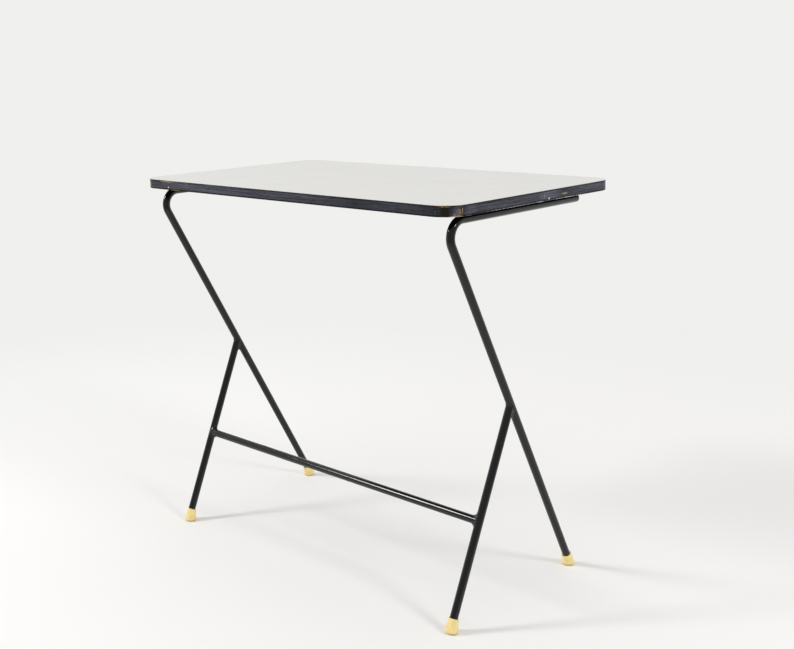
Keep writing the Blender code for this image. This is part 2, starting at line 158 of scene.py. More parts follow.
class FixingSettings(bpy.types.PropertyGroup):
    """Sizes and colours of the tabs and screws that hold the board."""

    tab_hole: size("Tab hole", "Radius of the screw hole in a tab", 0.00205)
    tab_soft: size("Tab edge", "Softening of a tab's edges", 0.0002)
    dome: size("Head height", "Height of a screw's domed head", 0.0024)
    shank: size("Shank", "Radius of a screw's shank", 0.00175)
    point: size("Point", "Length of a screw's point", 0.003)
    slot_width: size("Slot width", "Width of a screw's slot", 0.0009)
    slot_height: size("Slot cutter", "Height of the slot's cutter, half of which cuts the head", 0.0022)
    screw_soft: size("Screw edge", "Softening of a screw's edges", 0.00008)
    zinc: colour("Zinc plate", "Plating on the wood screws", "#B4B2AA")


class FootSettings(bpy.types.PropertyGroup):
    """Sizes and colours of the rubber feet."""

    height: size("Foot height", "Length of a cap along its rod", 0.0192)
    wall: size("Wall", "Wall of the cap at its lip", 0.0015)
    flare: size("Flare", "How much wider the base is than the lip", 0.0016)
    sole: size("Sole", "Rubber under the rod's end", 0.0060)
    worn_away: size("Worn away", "Rubber that the level sole has lost", 0.0005)
    creep: size("Creep", "How far the base has crept inwards under load", 0.0025)
    rim_round: size("Base round", "Round at the base of the cap", 0.0028)
    lip_round: size("Lip round", "Round at the lip of the cap", 0.0005)
    rubber: colour("Rubber", "Aged cream rubber", "#EAD593")
    grime: colour("Grime", "Floor dirt at the base", "#A98F58")


class StudioSettings(bpy.types.PropertyGroup):
    """Lens, lights, floor and background."""

    lens: FloatProperty(
        name="Lens", description="Focal length on a 36 mm sensor, in millimetres", default=49.98, min=1.0,
    )
    floor: colour("Floor", "Pale studio floor", "#F6F5F3")
    background: colour("Background", "What the camera sees beyond the floor", "#F0F0EE")
    floor_radius: size("Floor radius", "Radius of the floor", 3.0)
    fade_end: size("Fade end", "Where the floor has given way to the background", 1.7)
    fade_start: size("Fade start", "Where the floor starts to fade into the background", 0.45)
    dim_side: colour("Dim side", "What gloss shows of the room away from the backdrop", "#B2B2B4")
    daylight: FloatProperty(
        name="Room light", description="Strength of the light from all round", default=0.72, min=0.0,
    )
    left_lamp: FloatProperty(
        name="Left lamp", description="Power of the lamp at the front left, in watts", default=61.0, min=0.0,
    )
    right_lamp: FloatProperty(
        name="Right lamp", description="Power of the lamp at the right, in watts", default=34.0, min=0.0,
    )


def node(tree, kind, inputs=None, **settings):
    """Add a node with its settings. An input that is given a socket is linked, and any other is set."""
    made = tree.nodes.new(kind)
    for name, value in settings.items():
        setattr(made, name, value)
    for name, value in (inputs or {}).items():
        if isinstance(value, bpy.types.NodeSocket):
            tree.links.new(value, made.inputs[name])
        else:
            made.inputs[name].default_value = value
    return made


def new_material(name):
    """Return an empty node material and its tree."""
    material = bpy.data.materials.new(name)
    material.use_nodes = True
    material.node_tree.nodes.clear()
    return material, material.node_tree


def end_material(tree, relief, strength, depth, finish):
    """End a material with its relief, whose full depth is in metres, and the shader inputs of its finish."""
    bump = node(tree, "ShaderNodeBump", {"Strength": strength, "Distance": depth, "Height": relief})
    shader = node(tree, "ShaderNodeBsdfPrincipled", {**finish, "Normal": bump.outputs["Normal"]})
    node(tree, "ShaderNodeOutputMaterial", {"Surface": shader.outputs["BSDF"]})


def rgba(rgb, share=1.0):
    """Return a share of a colour, or a little more than all of it, with full alpha."""
    return (*(min(part * share, 1.0) for part in rgb), 1.0)


def new_tree(name, sockets):
    """Return a Geometry Nodes tree with the given inputs, its input node and a function that ends it."""
    tree = bpy.data.node_groups.new(name, "GeometryNodeTree")
    tree.interface.new_socket("Geometry", in_out="INPUT", socket_type="NodeSocketGeometry")
    for socket, kind in sockets.items():
        tree.interface.new_socket(socket, in_out="INPUT", socket_type="NodeSocket" + kind)
    tree.interface.new_socket("Material", in_out="INPUT", socket_type="NodeSocketMaterial")
    tree.interface.new_socket("Geometry", in_out="OUTPUT", socket_type="NodeSocketGeometry")
    given = node(tree, "NodeGroupInput").outputs

    def end(geometry):
        """Make the result real, give it its material and send it out."""
        real = node(tree, "GeometryNodeRealizeInstances", {"Geometry": geometry})
        inputs = {"Geometry": real.outputs["Geometry"], "Material": given["Material"]}
        dressed = node(tree, "GeometryNodeSetMaterial", inputs)
        node(tree, "NodeGroupOutput", {"Geometry": dressed.outputs["Geometry"]})
        return tree

    return tree, given, end


def rod_tree():
    """Return the tree that rounds the corners of a path and sweeps a rod along it."""
    tree, given, end = new_tree(
        "Bent rod", {"Diameter": "Float", "Bend Radius": "Float", "Bend Steps": "Int", "Sides": "Int"}
    )
    path = node(tree, "GeometryNodeMeshToCurve", {"Mesh": given["Geometry"]})
    bent = node(tree, "GeometryNodeFilletCurve", {
        "Curve": path.outputs["Curve"], "Count": given["Bend Steps"], "Radius": given["Bend Radius"],
    }, mode="POLY")
    half = node(tree, "ShaderNodeMath", {0: given["Diameter"], 1: 0.5}, operation="MULTIPLY")
    section = node(tree, "GeometryNodeCurvePrimitiveCircle", {
        "Resolution": given["Sides"], "Radius": half.outputs[0],
    }, mode="RADIUS")
    swept = node(tree, "GeometryNodeCurveToMesh", {
        "Curve": bent.outputs["Curve"], "Profile Curve": section.outputs["Curve"], "Fill Caps": True,
    })
    return end(swept.outputs["Mesh"])


def ripple_tree():
    """Return the tree that raises the uneven ripples of a hand-laid weld bead.

    They are drawn a little coarser than real ones, so that they show.
    """
    tree, given, end = new_tree(
        "Weld ripples", {"Ripple Height": "Float", "Ripple Size": "Float", "Seed": "Float"}
    )
    scale = node(tree, "ShaderNodeMath", {0: 1.0, 1: given["Ripple Size"]}, operation="DIVIDE")
    waves = node(tree, "ShaderNodeTexNoise", {
        "W": given["Seed"], "Scale": scale.outputs[0], "Detail": 2.0, "Roughness": 0.45,
    }, noise_dimensions="4D")
    centred = node(tree, "ShaderNodeMath", {0: waves.outputs[0], 1: 0.5}, operation="SUBTRACT")
    rise = node(tree, "ShaderNodeMath", {
        0: centred.outputs[0], 1: given["Ripple Height"],
    }, operation="MULTIPLY")
    normal = node(tree, "GeometryNodeInputNormal")
    offset = node(tree, "ShaderNodeVectorMath", {
        0: normal.outputs["Normal"], "Scale": rise.outputs[0],
    }, operation="SCALE")
    moved = node(tree, "GeometryNodeSetPosition", {
        "Geometry": given["Geometry"], "Offset": offset.outputs["Vector"],
    })
    return end(moved.outputs["Geometry"])


def copies_tree():
    """Return the tree that sets a copy of one piece on every point, turned by the point's own angle."""
    tree, given, end = new_tree("Copies on points", {"Piece": "Object"})
    piece = node(tree, "GeometryNodeObjectInfo", {"Object": given["Piece"]})
    angle = node(tree, "GeometryNodeInputNamedAttribute", {"Name": "turn"}, data_type="FLOAT")
    turned_by = node(tree, "FunctionNodeAxisAngleToRotation", {
        "Axis": (0.0, 0.0, 1.0), "Angle": angle.outputs["Attribute"],
    })
    placed = node(tree, "GeometryNodeInstanceOnPoints", {
        "Points": given["Geometry"], "Instance": piece.outputs["Geometry"],
        "Rotation": turned_by.outputs["Rotation"],
    })
    return end(placed.outputs["Instances"])


def the_tree(maker, name):
    """Return a Geometry Nodes tree, built the first time that it is asked for."""
    return bpy.data.node_groups.get(name) or maker()


def new_piece(name, mesh):
    """Return a new object that holds a mesh."""
    piece = bpy.data.objects.new(name, mesh)
    bpy.context.scene.collection.objects.link(piece)
    return piece


def path_mesh(name, points):
    """Return a mesh of points joined by edges in order."""
    mesh = bpy.data.meshes.new(name)
    edges = [(at, at + 1) for at in range(len(points) - 1)]
    mesh.from_pydata([tuple(point) for point in points], edges, [])
    return mesh


def use_tree(piece, tree, values):
    """Put a Geometry Nodes tree on a piece, each input set by its socket's identifier."""
    modifier = piece.modifiers.new(tree.name, "NODES")
    modifier.node_group = tree
    for socket in tree.interface.items_tree:
        if socket.in_out == "INPUT" and socket.name in values:
            modifier[socket.identifier] = values[socket.name]


def settle(piece):
    """Turn a piece's modifiers into its plain mesh."""
    graph = bpy.context.evaluated_depsgraph_get()
    made = bpy.data.meshes.new_from_object(piece.evaluated_get(graph), depsgraph=graph)
    piece.modifiers.clear()
    old, piece.data = piece.data, made
    made.name = piece.name
    bpy.data.meshes.remove(old)


def shade_round(mesh):
    """Shade round faces smooth, and keep sharp edges sharp."""
    mesh.shade_smooth()
    mesh.set_sharp_from_angle(angle=SMOOTH_ANGLE)


def face_out(piece):
    """Merge doubled points, turn every face outwards and shade the round faces smooth."""
    loose = bmesh.new()
    loose.from_mesh(piece.data)
    bmesh.ops.remove_doubles(loose, verts=loose.verts, dist=DOUBLED)
    bmesh.ops.recalc_face_normals(loose, faces=loose.faces)
    loose.to_mesh(piece.data)
    loose.free()
    shade_round(piece.data)


def finish_piece(piece, slot, *nodes):
    """Let a piece ride on the table and stand for its CAD nodes. The slot is not used."""
    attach(piece, BODY)
    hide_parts(*nodes)


def outline(length, depth, radius, step):
    """Return the top's outline as (place, outward direction, distance run), from the middle of the back."""
    half_x, half_y = length / 2 - radius, depth / 2 - radius
    arc_steps = math.ceil(radius * math.pi / 2 / step)
    corners = ((-half_x, half_y, 90), (-half_x, -half_y, 180), (half_x, -half_y, 270), (half_x, half_y, 0))
    ring = [(Vector((0, depth / 2)), Vector((0, 1)))]

    def straight_to(end):
        """Add points up to an end, which is left out."""
        start, outward = ring[-1]
        steps = max(1, math.ceil((end - start).length / step))
        ring.extend((start.lerp(end, at / steps), outward) for at in range(1, steps))

    for centre_x, centre_y, first in corners:
        turns = [math.radians(first + 90 * at / arc_steps) for at in range(arc_steps + 1)]
        ways = [Vector((math.cos(turn), math.sin(turn))) for turn in turns]
        centre = Vector((centre_x, centre_y))
        straight_to(centre + ways[0] * radius)
        ring.extend((centre + way * radius, way) for way in ways)
    straight_to(ring[0][0])
    run, places = 0.0, []
    for at, (place, outward) in enumerate(ring):
        run += (place - ring[at - 1][0]).length if at else 0.0
        places.append((place, outward, run))
    return places


# Worn places on the edge, as (kind, centre, reach along the edge, reach up, strength), with the centre and
# reaches in millimetres. Bare shows wood or laminate core, scuff shows pale knocks and rubbed arrises, stain
# shows glossy brown lacquer, and dust is the grey bloom on the paint. Those on the front and the right follow
# the photo, and those on the back and the left are guessed.
WORN_PLACES = (
    ("dust", (-150, -161.5, 515), 150, 20, 0.28),
    ("dust", (20, -161.5, 515), 110, 20, 0.23),
    ("dust", (200, -161.5, 515), 60, 20, 0.17),
    ("dust", (287.5, -60, 515), 90, 20, 0.25),
    ("dust", (287.5, 20, 515), 26, 20, 0.36),
    ("dust", (287.5, 110, 515), 60, 20, 0.32),
    ("dust", (0, 161.5, 515), 260, 20, 0.22),
    ("dust", (-287.5, 0, 515), 120, 20, 0.24),
    ("scuff", (-215, -161.5, 520.9), 52, 0.8, 0.34),
    ("scuff", (-90, -161.5, 521.0), 75, 0.7, 0.27),
    ("scuff", (60, -161.5, 521.1), 75, 0.6, 0.22),
    ("bare", (-227, -161.5, 520.2), 17, 0.7, 0.9),
    ("bare", (-184, -161.5, 520.9), 6, 0.45, 0.8),
    ("bare", (-131, -161.5, 520.9), 12, 0.4, 0.75),
    ("bare", (-272, -158.4, 516.5), 5.5, 7.5, 0.66),
    ("bare", (-208, -161.5, 509.4), 11, 0.6, 0.85),
    ("scuff", (-224.5, -161.5, 512.8), 1.0, 0.9, 1.0),
    ("stain", (267.5, -161.0, 515.5), 4.0, 9.0, 0.38),
    ("stain", (275.4, -156.4, 515.5), 5.0, 9.0, 1.0),
    ("dust", (284.0, -146.0, 515.0), 5.0, 9.0, 0.36),
    ("dust", (287.5, -125.0, 515.0), 14, 20, 0.32),
    ("bare", (275.5, -156.3, 520.3), 9.0, 0.5, 0.56),
    ("bare", (285.4, -143.5, 514.5), 2.6, 6.0, 0.46),
    ("bare", (282.5, -149.0, 511.5), 3.0, 2.5, 0.42),
    ("scuff", (287.5, -131.0, 509.5), 6.0, 0.6, 0.5),
    ("bare", (273.0, -158.0, 521.7), 13, 0.5, 0.85),
    ("bare", (285.5, -142.5, 521.2), 6, 0.5, 0.7),
    ("scuff", (265.7, -160.7, 514.0), 0.6, 3.0, 0.34),
    ("scuff", (268.8, -159.9, 514.0), 0.5, 2.4, 0.36),
    ("bare", (286.6, -139.9, 515.6), 0.6, 3.8, 0.85),
    ("bare", (284.4, -145.8, 516.9), 0.8, 0.7, 0.7),
    ("bare", (285.5, -143.3, 513.2), 0.8, 1.0, 0.65),
    ("bare", (282.4, -149.2, 512.4), 0.7, 0.9, 0.6),
    ("bare", (283.6, -146.8, 509.7), 8.5, 1.2, 0.72),
    ("bare", (272.0, -158.8, 509.3), 9.0, 0.4, 0.6),
    ("scuff", (284.0, -146.7, 514.8), 0.6, 0.6, 0.62),
    ("scuff", (283.6, -146.8, 509.7), 8.0, 1.0, 0.85),
    ("scuff", (287.5, -45, 509.7), 75, 0.6, 0.5),
    ("scuff", (287.5, 2, 509.7), 16, 0.6, 0.56),
    ("scuff", (287.5, 62, 509.7), 50, 0.6, 0.55),
    ("bare", (287.5, -30, 509.3), 34, 0.35, 0.42),
    ("bare", (287.5, -112, 521.0), 16, 0.35, 0.55),
    ("bare", (287.5, -3, 521.0), 18, 0.4, 0.6),
    ("bare", (287.5, 86, 521.0), 40, 0.4, 0.62),
    ("scuff", (287.5, 10.8, 515.7), 0.5, 1.5, 0.62),
    ("scuff", (287.5, 19.7, 511.7), 1.2, 1.1, 1.0),
    ("bare", (287.5, 51.5, 514.7), 6.8, 1.0, 0.9),
    ("bare", (285.0, 150.0, 519.5), 3.0, 2.0, 0.8),
    ("bare", (120, 161.5, 509.5), 22, 0.6, 0.8),
    ("bare", (-60, 161.5, 520.8), 16, 0.5, 0.8),
    ("bare", (-279.0, 153.0, 510.5), 5.0, 1.4, 0.9),
    ("bare", (-287.5, 40, 509.6), 18, 0.6, 0.8),
    ("bare", (-287.5, -70, 520.6), 9, 0.7, 0.8),
)
WEAR_KINDS = ("bare", "scuff", "stain", "dust")
# How far, in metres, a fully bare place is sunk into the edge
CHIP_DEPTH = 0.00022
# A worn place is at full strength up to 0.4 times its reach, and fades to nothing at 1.6 times
WEAR_END, WEAR_FADE = 1.6, 1.2
# Rings on the flat faces of the board and the laminate, in metres in from the edge, where shading turns flat
BOARD_RINGS = (0.004, 0.012)
LAMINATE_RINGS = (0.003, 0.012)


def wear_at(points):
    """Return how bare, scuffed, stained and dusty the edge is at each point, from 0 to 1 in four columns."""
    wear = numpy.zeros((len(points), len(WEAR_KINDS)))
    for kind, centre, reach_along, reach_up, strength in WORN_PLACES:
        x, y, z = (points / MM - centre).T
        far = numpy.hypot(numpy.hypot(x, y) / reach_along, z / reach_up)
        column = wear[:, WEAR_KINDS.index(kind)]
        numpy.maximum(column, strength * numpy.clip((WEAR_END - far) / WEAR_FADE, 0, 1), out=column)
    return wear


def slab_mesh(name, places, profile):
    """Return a closed slab whose edge follows a profile of (inward, height), bottom to top.

    The edge's own map holds the distance round the outline and the height, both in metres. The wear attribute
    holds how bare, scuffed, stained and dusty each point within 1 mm of the edge is. Bare places are sunk in.
    """
    count = len(places)
    rim = numpy.array([place for place, *_ in places])
    outward = numpy.array([way for _, way, _ in places])
    rows, wear = [], []
    for inward, height in profile:
        row = numpy.column_stack((rim - outward * inward, numpy.full(count, height)))
        worn = wear_at(row) if inward < MM else numpy.zeros((count, len(WEAR_KINDS)))
        row[:, :2] -= outward * worn[:, :1] * CHIP_DEPTH
        rows.append(row)
        wear.append(worn)
    runs = [run for *_, run in places] + [places[-1][2] + (places[0][0] - places[-1][0]).length]
    faces, maps = [], []
    for at in range(len(profile) - 1):
        low, high = at * count, (at + 1) * count
        v_low, v_high = profile[at][1], profile[at + 1][1]
        for step in range(count):
            after = (step + 1) % count
            faces.append((low + step, low + after, high + after, high + step))
            near, far = runs[step], runs[step + 1]
            maps += [(near, v_low), (far, v_low), (far, v_high), (near, v_high)]
    top = (len(profile) - 1) * count
    faces += [tuple(reversed(range(count))), tuple(range(top, top + count))]
    maps += [(run, profile[0][1]) for run in reversed(runs[:-1])]
    maps += [(run, profile[-1][1]) for run in runs[:-1]]
    mesh = bpy.data.meshes.new(name)
    mesh.from_pydata(numpy.concatenate(rows).tolist(), [], faces)
    layer = mesh.uv_layers.new(name="edge")
    layer.uv.foreach_set("vector", numpy.array(maps).ravel())
    store = mesh.attributes.new("wear", "FLOAT_COLOR", "POINT")
    store.data.foreach_set("color", numpy.concatenate(wear).ravel())
    shade_round(mesh)
    return mesh


def quarter_round(inward, height, radius, first, steps):
    """Return (inward, height) points on a quarter circle, from straight down (-90) or straight out (0)."""
    turns = [math.radians(first + 90 * at / steps) for at in range(steps + 1)]
    return [(inward - radius * math.cos(turn), height + radius * math.sin(turn)) for turn in turns]


def grain_nodes(tree, spot, length, width, detail, roughness=0.5, start=(0.0, 0.0, 0.0), turn=0.0):
    """Return a noise drawn out along X, whose grains have about the given length and width in millimetres."""
    along = node(tree, "ShaderNodeMapping", {
        "Vector": spot, "Location": start, "Rotation": (0.0, 0.0, turn),
        "Scale": (1 / (length * MM), 1 / (width * MM), 1.0),
    })
    grain = node(tree, "ShaderNodeTexNoise", {
        "Vector": along.outputs[0], "Scale": 1.0, "Detail": detail, "Roughness": roughness,
    })
    return grain.outputs[0]


def edge_wear_nodes(tree, coordinates):
    """Return masks of the bare, scuffed and stained places with ragged borders, and the plain dust amount."""
    # Paint breaks off in flakes of about 0.8 mm, which shift a place's border by up to 0.38 of full strength
    flakes = node(tree, "ShaderNodeTexNoise", {
        "Vector": coordinates, "Scale": 1 / (0.8 * MM), "Detail": 4.0, "Roughness": 0.65,
    })
    ragged = node(tree, "ShaderNodeMapRange", {
        "Value": flakes.outputs[0], "From Min": 0.3, "From Max": 0.7, "To Min": -0.38, "To Max": 0.38,
    })
    stored = node(tree, "ShaderNodeAttribute", attribute_name="wear")
    kinds = node(tree, "ShaderNodeSeparateColor", {"Color": stored.outputs["Color"]})
    # Where each kind's mask starts and ends on the ragged strength: crisp for chips, softer for knocks and
    # stains. Below the least strength nothing shows, however ragged
    borders, least = ((0.42, 0.62), (0.35, 0.7), (0.3, 0.7)), 0.12
    masks = []
    for channel, (low, high) in zip(kinds.outputs, borders):
        worn = node(tree, "ShaderNodeMath", {0: channel, 1: ragged.outputs["Result"]}, operation="ADD")
        inside = node(tree, "ShaderNodeMath", {0: channel, 1: least}, operation="GREATER_THAN")
        edge = node(tree, "ShaderNodeMapRange", {
            "Value": worn.outputs[0], "From Min": low, "From Max": high,
        }, interpolation_type="SMOOTHSTEP")
        mask = node(tree, "ShaderNodeMath", {
            0: edge.outputs["Result"], 1: inside.outputs[0],
        }, operation="MULTIPLY")
        masks.append(mask.outputs[0])
    return (*masks, stored.outputs["Alpha"])


def painted_plywood(top):
    """Black brushed paint on plywood, dusty and chipped.

    The paint is thin, so the plies show through as fine streaks that run along the edge. Dust sits in the
    streaks on the flat of the edge. It is left off the lowest few millimetres, so that the plain black there
    is painted shade on the lower arris, and off the topmost ones. Chips show pale wood with a crisp border,
    and the front corner has glossy brown lacquer over its worn place. Brush marks run along the underside,
    with the veneer's grain under them.
    """
    material, tree = new_material("black_painted_plywood")
    where = node(tree, "ShaderNodeTexCoord")
    spot, round_edge = where.outputs["Object"], where.outputs["UV"]
    bare, scuffed, stained, dusty = edge_wear_nodes(tree, spot)
    # Brush streaks are drawn 12 mm long and 0.8 mm high, coarser than real ones so that they show, over plies
    # 1.7 mm thick
    streak = grain_nodes(tree, round_edge, length=12, width=0.8, detail=4.0, roughness=0.65)
    ply = grain_nodes(tree, round_edge, length=80, width=1.7, detail=2.0)
    both = node(tree, "ShaderNodeMath", {0: streak, 1: ply}, operation="ADD")
    settled = node(tree, "ShaderNodeMapRange", {
        "Value": both.outputs[0], "From Min": 0.78, "From Max": 1.22, "To Min": 0.3, "To Max": 1.75,
    })
    # The dust fades out over the lowest 2.6 mm, where the plain black is painted shade on the lower arris,
    # and over the topmost 1.6 mm
    height = node(tree, "ShaderNodeSeparateXYZ", {0: spot})
    low, high = (corner.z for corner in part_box("top_board"))
    # Below this height the edge is kept plain black as painted shade on the lower arris
    above_painted_shade = node(tree, "ShaderNodeMapRange", {
        "Value": height.outputs["Z"], "From Min": low + 1.2 * MM, "From Max": low + 2.6 * MM,
    }, interpolation_type="SMOOTHSTEP")
    below_high = node(tree, "ShaderNodeMapRange", {
        "Value": height.outputs["Z"], "From Min": high - 0.2 * MM, "From Max": high - 1.6 * MM,
    }, interpolation_type="SMOOTHSTEP")
    flat = node(tree, "ShaderNodeMath", {
        0: above_painted_shade.outputs["Result"], 1: below_high.outputs["Result"],
    }, operation="MULTIPLY")
    dust = node(tree, "ShaderNodeMath", {0: settled.outputs["Result"], 1: dusty}, operation="MULTIPLY")
    dust = node(tree, "ShaderNodeMath", {0: dust.outputs[0], 1: flat.outputs[0]}, operation="MULTIPLY")
    paint = node(tree, "ShaderNodeMix", {
        0: dust.outputs[0], MIX_A: rgba(top.paint), MIX_B: rgba(top.dust),
    }, data_type="RGBA").outputs[MIX_RESULT]
    for mask, cover in ((stained, top.stain), (scuffed, top.scuff)):
        paint = node(tree, "ShaderNodeMix", {
            0: mask, MIX_A: paint, MIX_B: rgba(cover),
        }, data_type="RGBA").outputs[MIX_RESULT]
    # The wood in the chips has fibres 3 mm long and 0.35 mm wide
    fibres = grain_nodes(tree, round_edge, length=3, width=0.35, detail=3.0)
    tone = node(tree, "ShaderNodeMapRange", {"Value": fibres, "From Min": 0.35, "From Max": 0.65})
    wood = node(tree, "ShaderNodeMix", {
        0: tone.outputs["Result"], MIX_A: rgba(top.bare_wood, 0.4), MIX_B: rgba(top.bare_wood),
    }, data_type="RGBA").outputs[MIX_RESULT]
    edge_colour = node(tree, "ShaderNodeMix", {
        0: bare, MIX_A: paint, MIX_B: wood,
    }, data_type="RGBA").outputs[MIX_RESULT]

    # Under the top, brush marks 60 mm long and 1.2 mm wide lie over veneer pores 20 mm long and 0.4 mm wide
    brush = grain_nodes(tree, spot, length=60, width=1.2, detail=3.0)
    pores = grain_nodes(tree, spot, length=20, width=0.4, detail=2.0)
    pore = node(tree, "ShaderNodeMapRange", {"Value": pores, "From Min": 0.6, "From Max": 0.72})
    thin = node(tree, "ShaderNodeMapRange", {
        "Value": brush, "From Min": 0.5, "From Max": 0.72, "To Max": 0.05,
    })
    below = node(tree, "ShaderNodeMix", {
        0: thin.outputs["Result"], MIX_A: rgba(top.paint), MIX_B: rgba(top.bare_wood),
    }, data_type="RGBA").outputs[MIX_RESULT]

    facing = node(tree, "ShaderNodeSeparateXYZ", {0: node(tree, "ShaderNodeNewGeometry").outputs["Normal"]})
    is_under = node(tree, "ShaderNodeMath", {0: facing.outputs["Z"], 1: -0.8}, operation="LESS_THAN")
    surface = node(tree, "ShaderNodeMix", {
        0: is_under.outputs[0], MIX_A: edge_colour, MIX_B: below,
    }, data_type="RGBA").outputs[MIX_RESULT]
    gloss = node(tree, "ShaderNodeMapRange", {
        "Value": streak, "From Min": 0.3, "From Max": 0.7, "To Min": 0.34, "To Max": 0.54,
    })
    dry = node(tree, "ShaderNodeMath", {0: bare, 1: is_under.outputs[0]}, operation="MAXIMUM")
    glossy_stain = node(tree, "ShaderNodeMix", {0: stained, 2: gloss.outputs["Result"], 3: 0.2})
    roughness = node(tree, "ShaderNodeMix", {0: dry.outputs[0], 2: glossy_stain.outputs[0], 3: 0.68})
    # The streaks stand about 25 microns high, and the chips go about 80 microns deep
    relief = node(tree, "ShaderNodeMath", {0: bare, 1: -1.6, 2: streak}, operation="MULTIPLY_ADD")
    under_relief = node(tree, "ShaderNodeMath", {
        0: pore.outputs["Result"], 1: -1.2, 2: brush,
    }, operation="MULTIPLY_ADD")
    height = node(tree, "ShaderNodeMix", {
        0: is_under.outputs[0], 2: relief.outputs[0], 3: under_relief.outputs[0],
    })
    end_material(tree, height.outputs[0], strength=0.8, depth=0.00006, finish={
        "Base Color": surface, "Roughness": roughness.outputs[0], "IOR": 1.5, "Specular IOR Level": 0.12,
    })
    return material


def pressed_laminate(top):
    """High-pressure laminate with a pale grey satin face and a black painted edge.

    The face is even in colour and softly matt, with a fine pebbled texture from the press plate, a few wiping
    hairlines and slightly duller handled patches. Where the edge paint has gone its brown paper core shows.
    """
    material, tree = new_material("pale_grey_pressed_laminate")
    spot = node(tree, "ShaderNodeTexCoord").outputs["Object"]
    bare, scuffed, stained, _ = edge_wear_nodes(tree, spot)
    # Faint clouding about 70 mm across
    clouds = node(tree, "ShaderNodeTexNoise", {"Vector": spot, "Scale": 1 / (70 * MM), "Detail": 3.0})
    shade = node(tree, "ShaderNodeMapRange", {"Value": clouds.outputs[0], "From Min": 0.3, "From Max": 0.7})
    face = node(tree, "ShaderNodeMix", {
        0: shade.outputs["Result"], MIX_A: rgba(top.laminate, 0.985), MIX_B: rgba(top.laminate),
    }, data_type="RGBA").outputs[MIX_RESULT]
    # Wiping hairlines some 40 mm long run in two directions, at most 0.5 mm wide, coarser than real ones so
    # that they show
    lines = []
    for turn, shift in ((0.35, 3.0), (-0.9, 8.0)):
        start = (shift, shift, 0.0)
        hair = grain_nodes(tree, spot, length=40, width=0.5, detail=1.0, start=start, turn=turn)
        line = node(tree, "ShaderNodeMapRange", {"Value": hair, "From Min": 0.72, "From Max": 0.78})
        lines.append(line.outputs["Result"])
    hairline = node(tree, "ShaderNodeMath", {0: lines[0], 1: lines[1]}, operation="MAXIMUM")
    hair_tone = node(tree, "ShaderNodeMath", {0: hairline.outputs[0], 1: 0.04}, operation="MULTIPLY")
    face = node(tree, "ShaderNodeMix", {
        0: hair_tone.outputs[0], MIX_A: face, MIX_B: rgba(top.laminate, 0.7),
    }, data_type="RGBA").outputs[MIX_RESULT]
    edge = rgba(top.paint)
    for mask, cover in ((stained, top.stain), (scuffed, top.scuff), (bare, top.laminate_core)):
        edge = node(tree, "ShaderNodeMix", {
            0: mask, MIX_A: edge, MIX_B: rgba(cover),
        }, data_type="RGBA").outputs[MIX_RESULT]
    facing = node(tree, "ShaderNodeSeparateXYZ", {0: node(tree, "ShaderNodeNewGeometry").outputs["Normal"]})
    is_face = node(tree, "ShaderNodeMapRange", {
        "Value": facing.outputs["Z"], "From Min": 0.45, "From Max": 0.75,
    })
    surface = node(tree, "ShaderNodeMix", {
        0: is_face.outputs["Result"], MIX_A: edge, MIX_B: face,
    }, data_type="RGBA").outputs[MIX_RESULT]
    # Handled patches about 45 mm across are a little duller
    patches = node(tree, "ShaderNodeTexNoise", {"Vector": spot, "Scale": 1 / (45 * MM), "Detail": 5.0})
    dull = node(tree, "ShaderNodeMapRange", {
        "Value": patches.outputs[0], "From Min": 0.3, "From Max": 0.7, "To Min": 0.34, "To Max": 0.44,
    })
    roughness = node(tree, "ShaderNodeMath", {
        0: hairline.outputs[0], 1: 0.12, 2: dull.outputs["Result"],
    }, operation="MULTIPLY_ADD")
    # The press plate's pebbles are 0.6 mm across and about 3 microns high
    pebbles = node(tree, "ShaderNodeTexNoise", {"Vector": spot, "Scale": 1 / (0.6 * MM), "Detail": 2.0})
    height = node(tree, "ShaderNodeMath", {
        0: hairline.outputs[0], 1: -1.0, 2: pebbles.outputs[0],
    }, operation="MULTIPLY_ADD")
    end_material(tree, height.outputs[0], strength=0.5, depth=0.000012, finish={
        "Base Color": surface, "Roughness": roughness.outputs[0], "IOR": 1.5,
    })
    return material


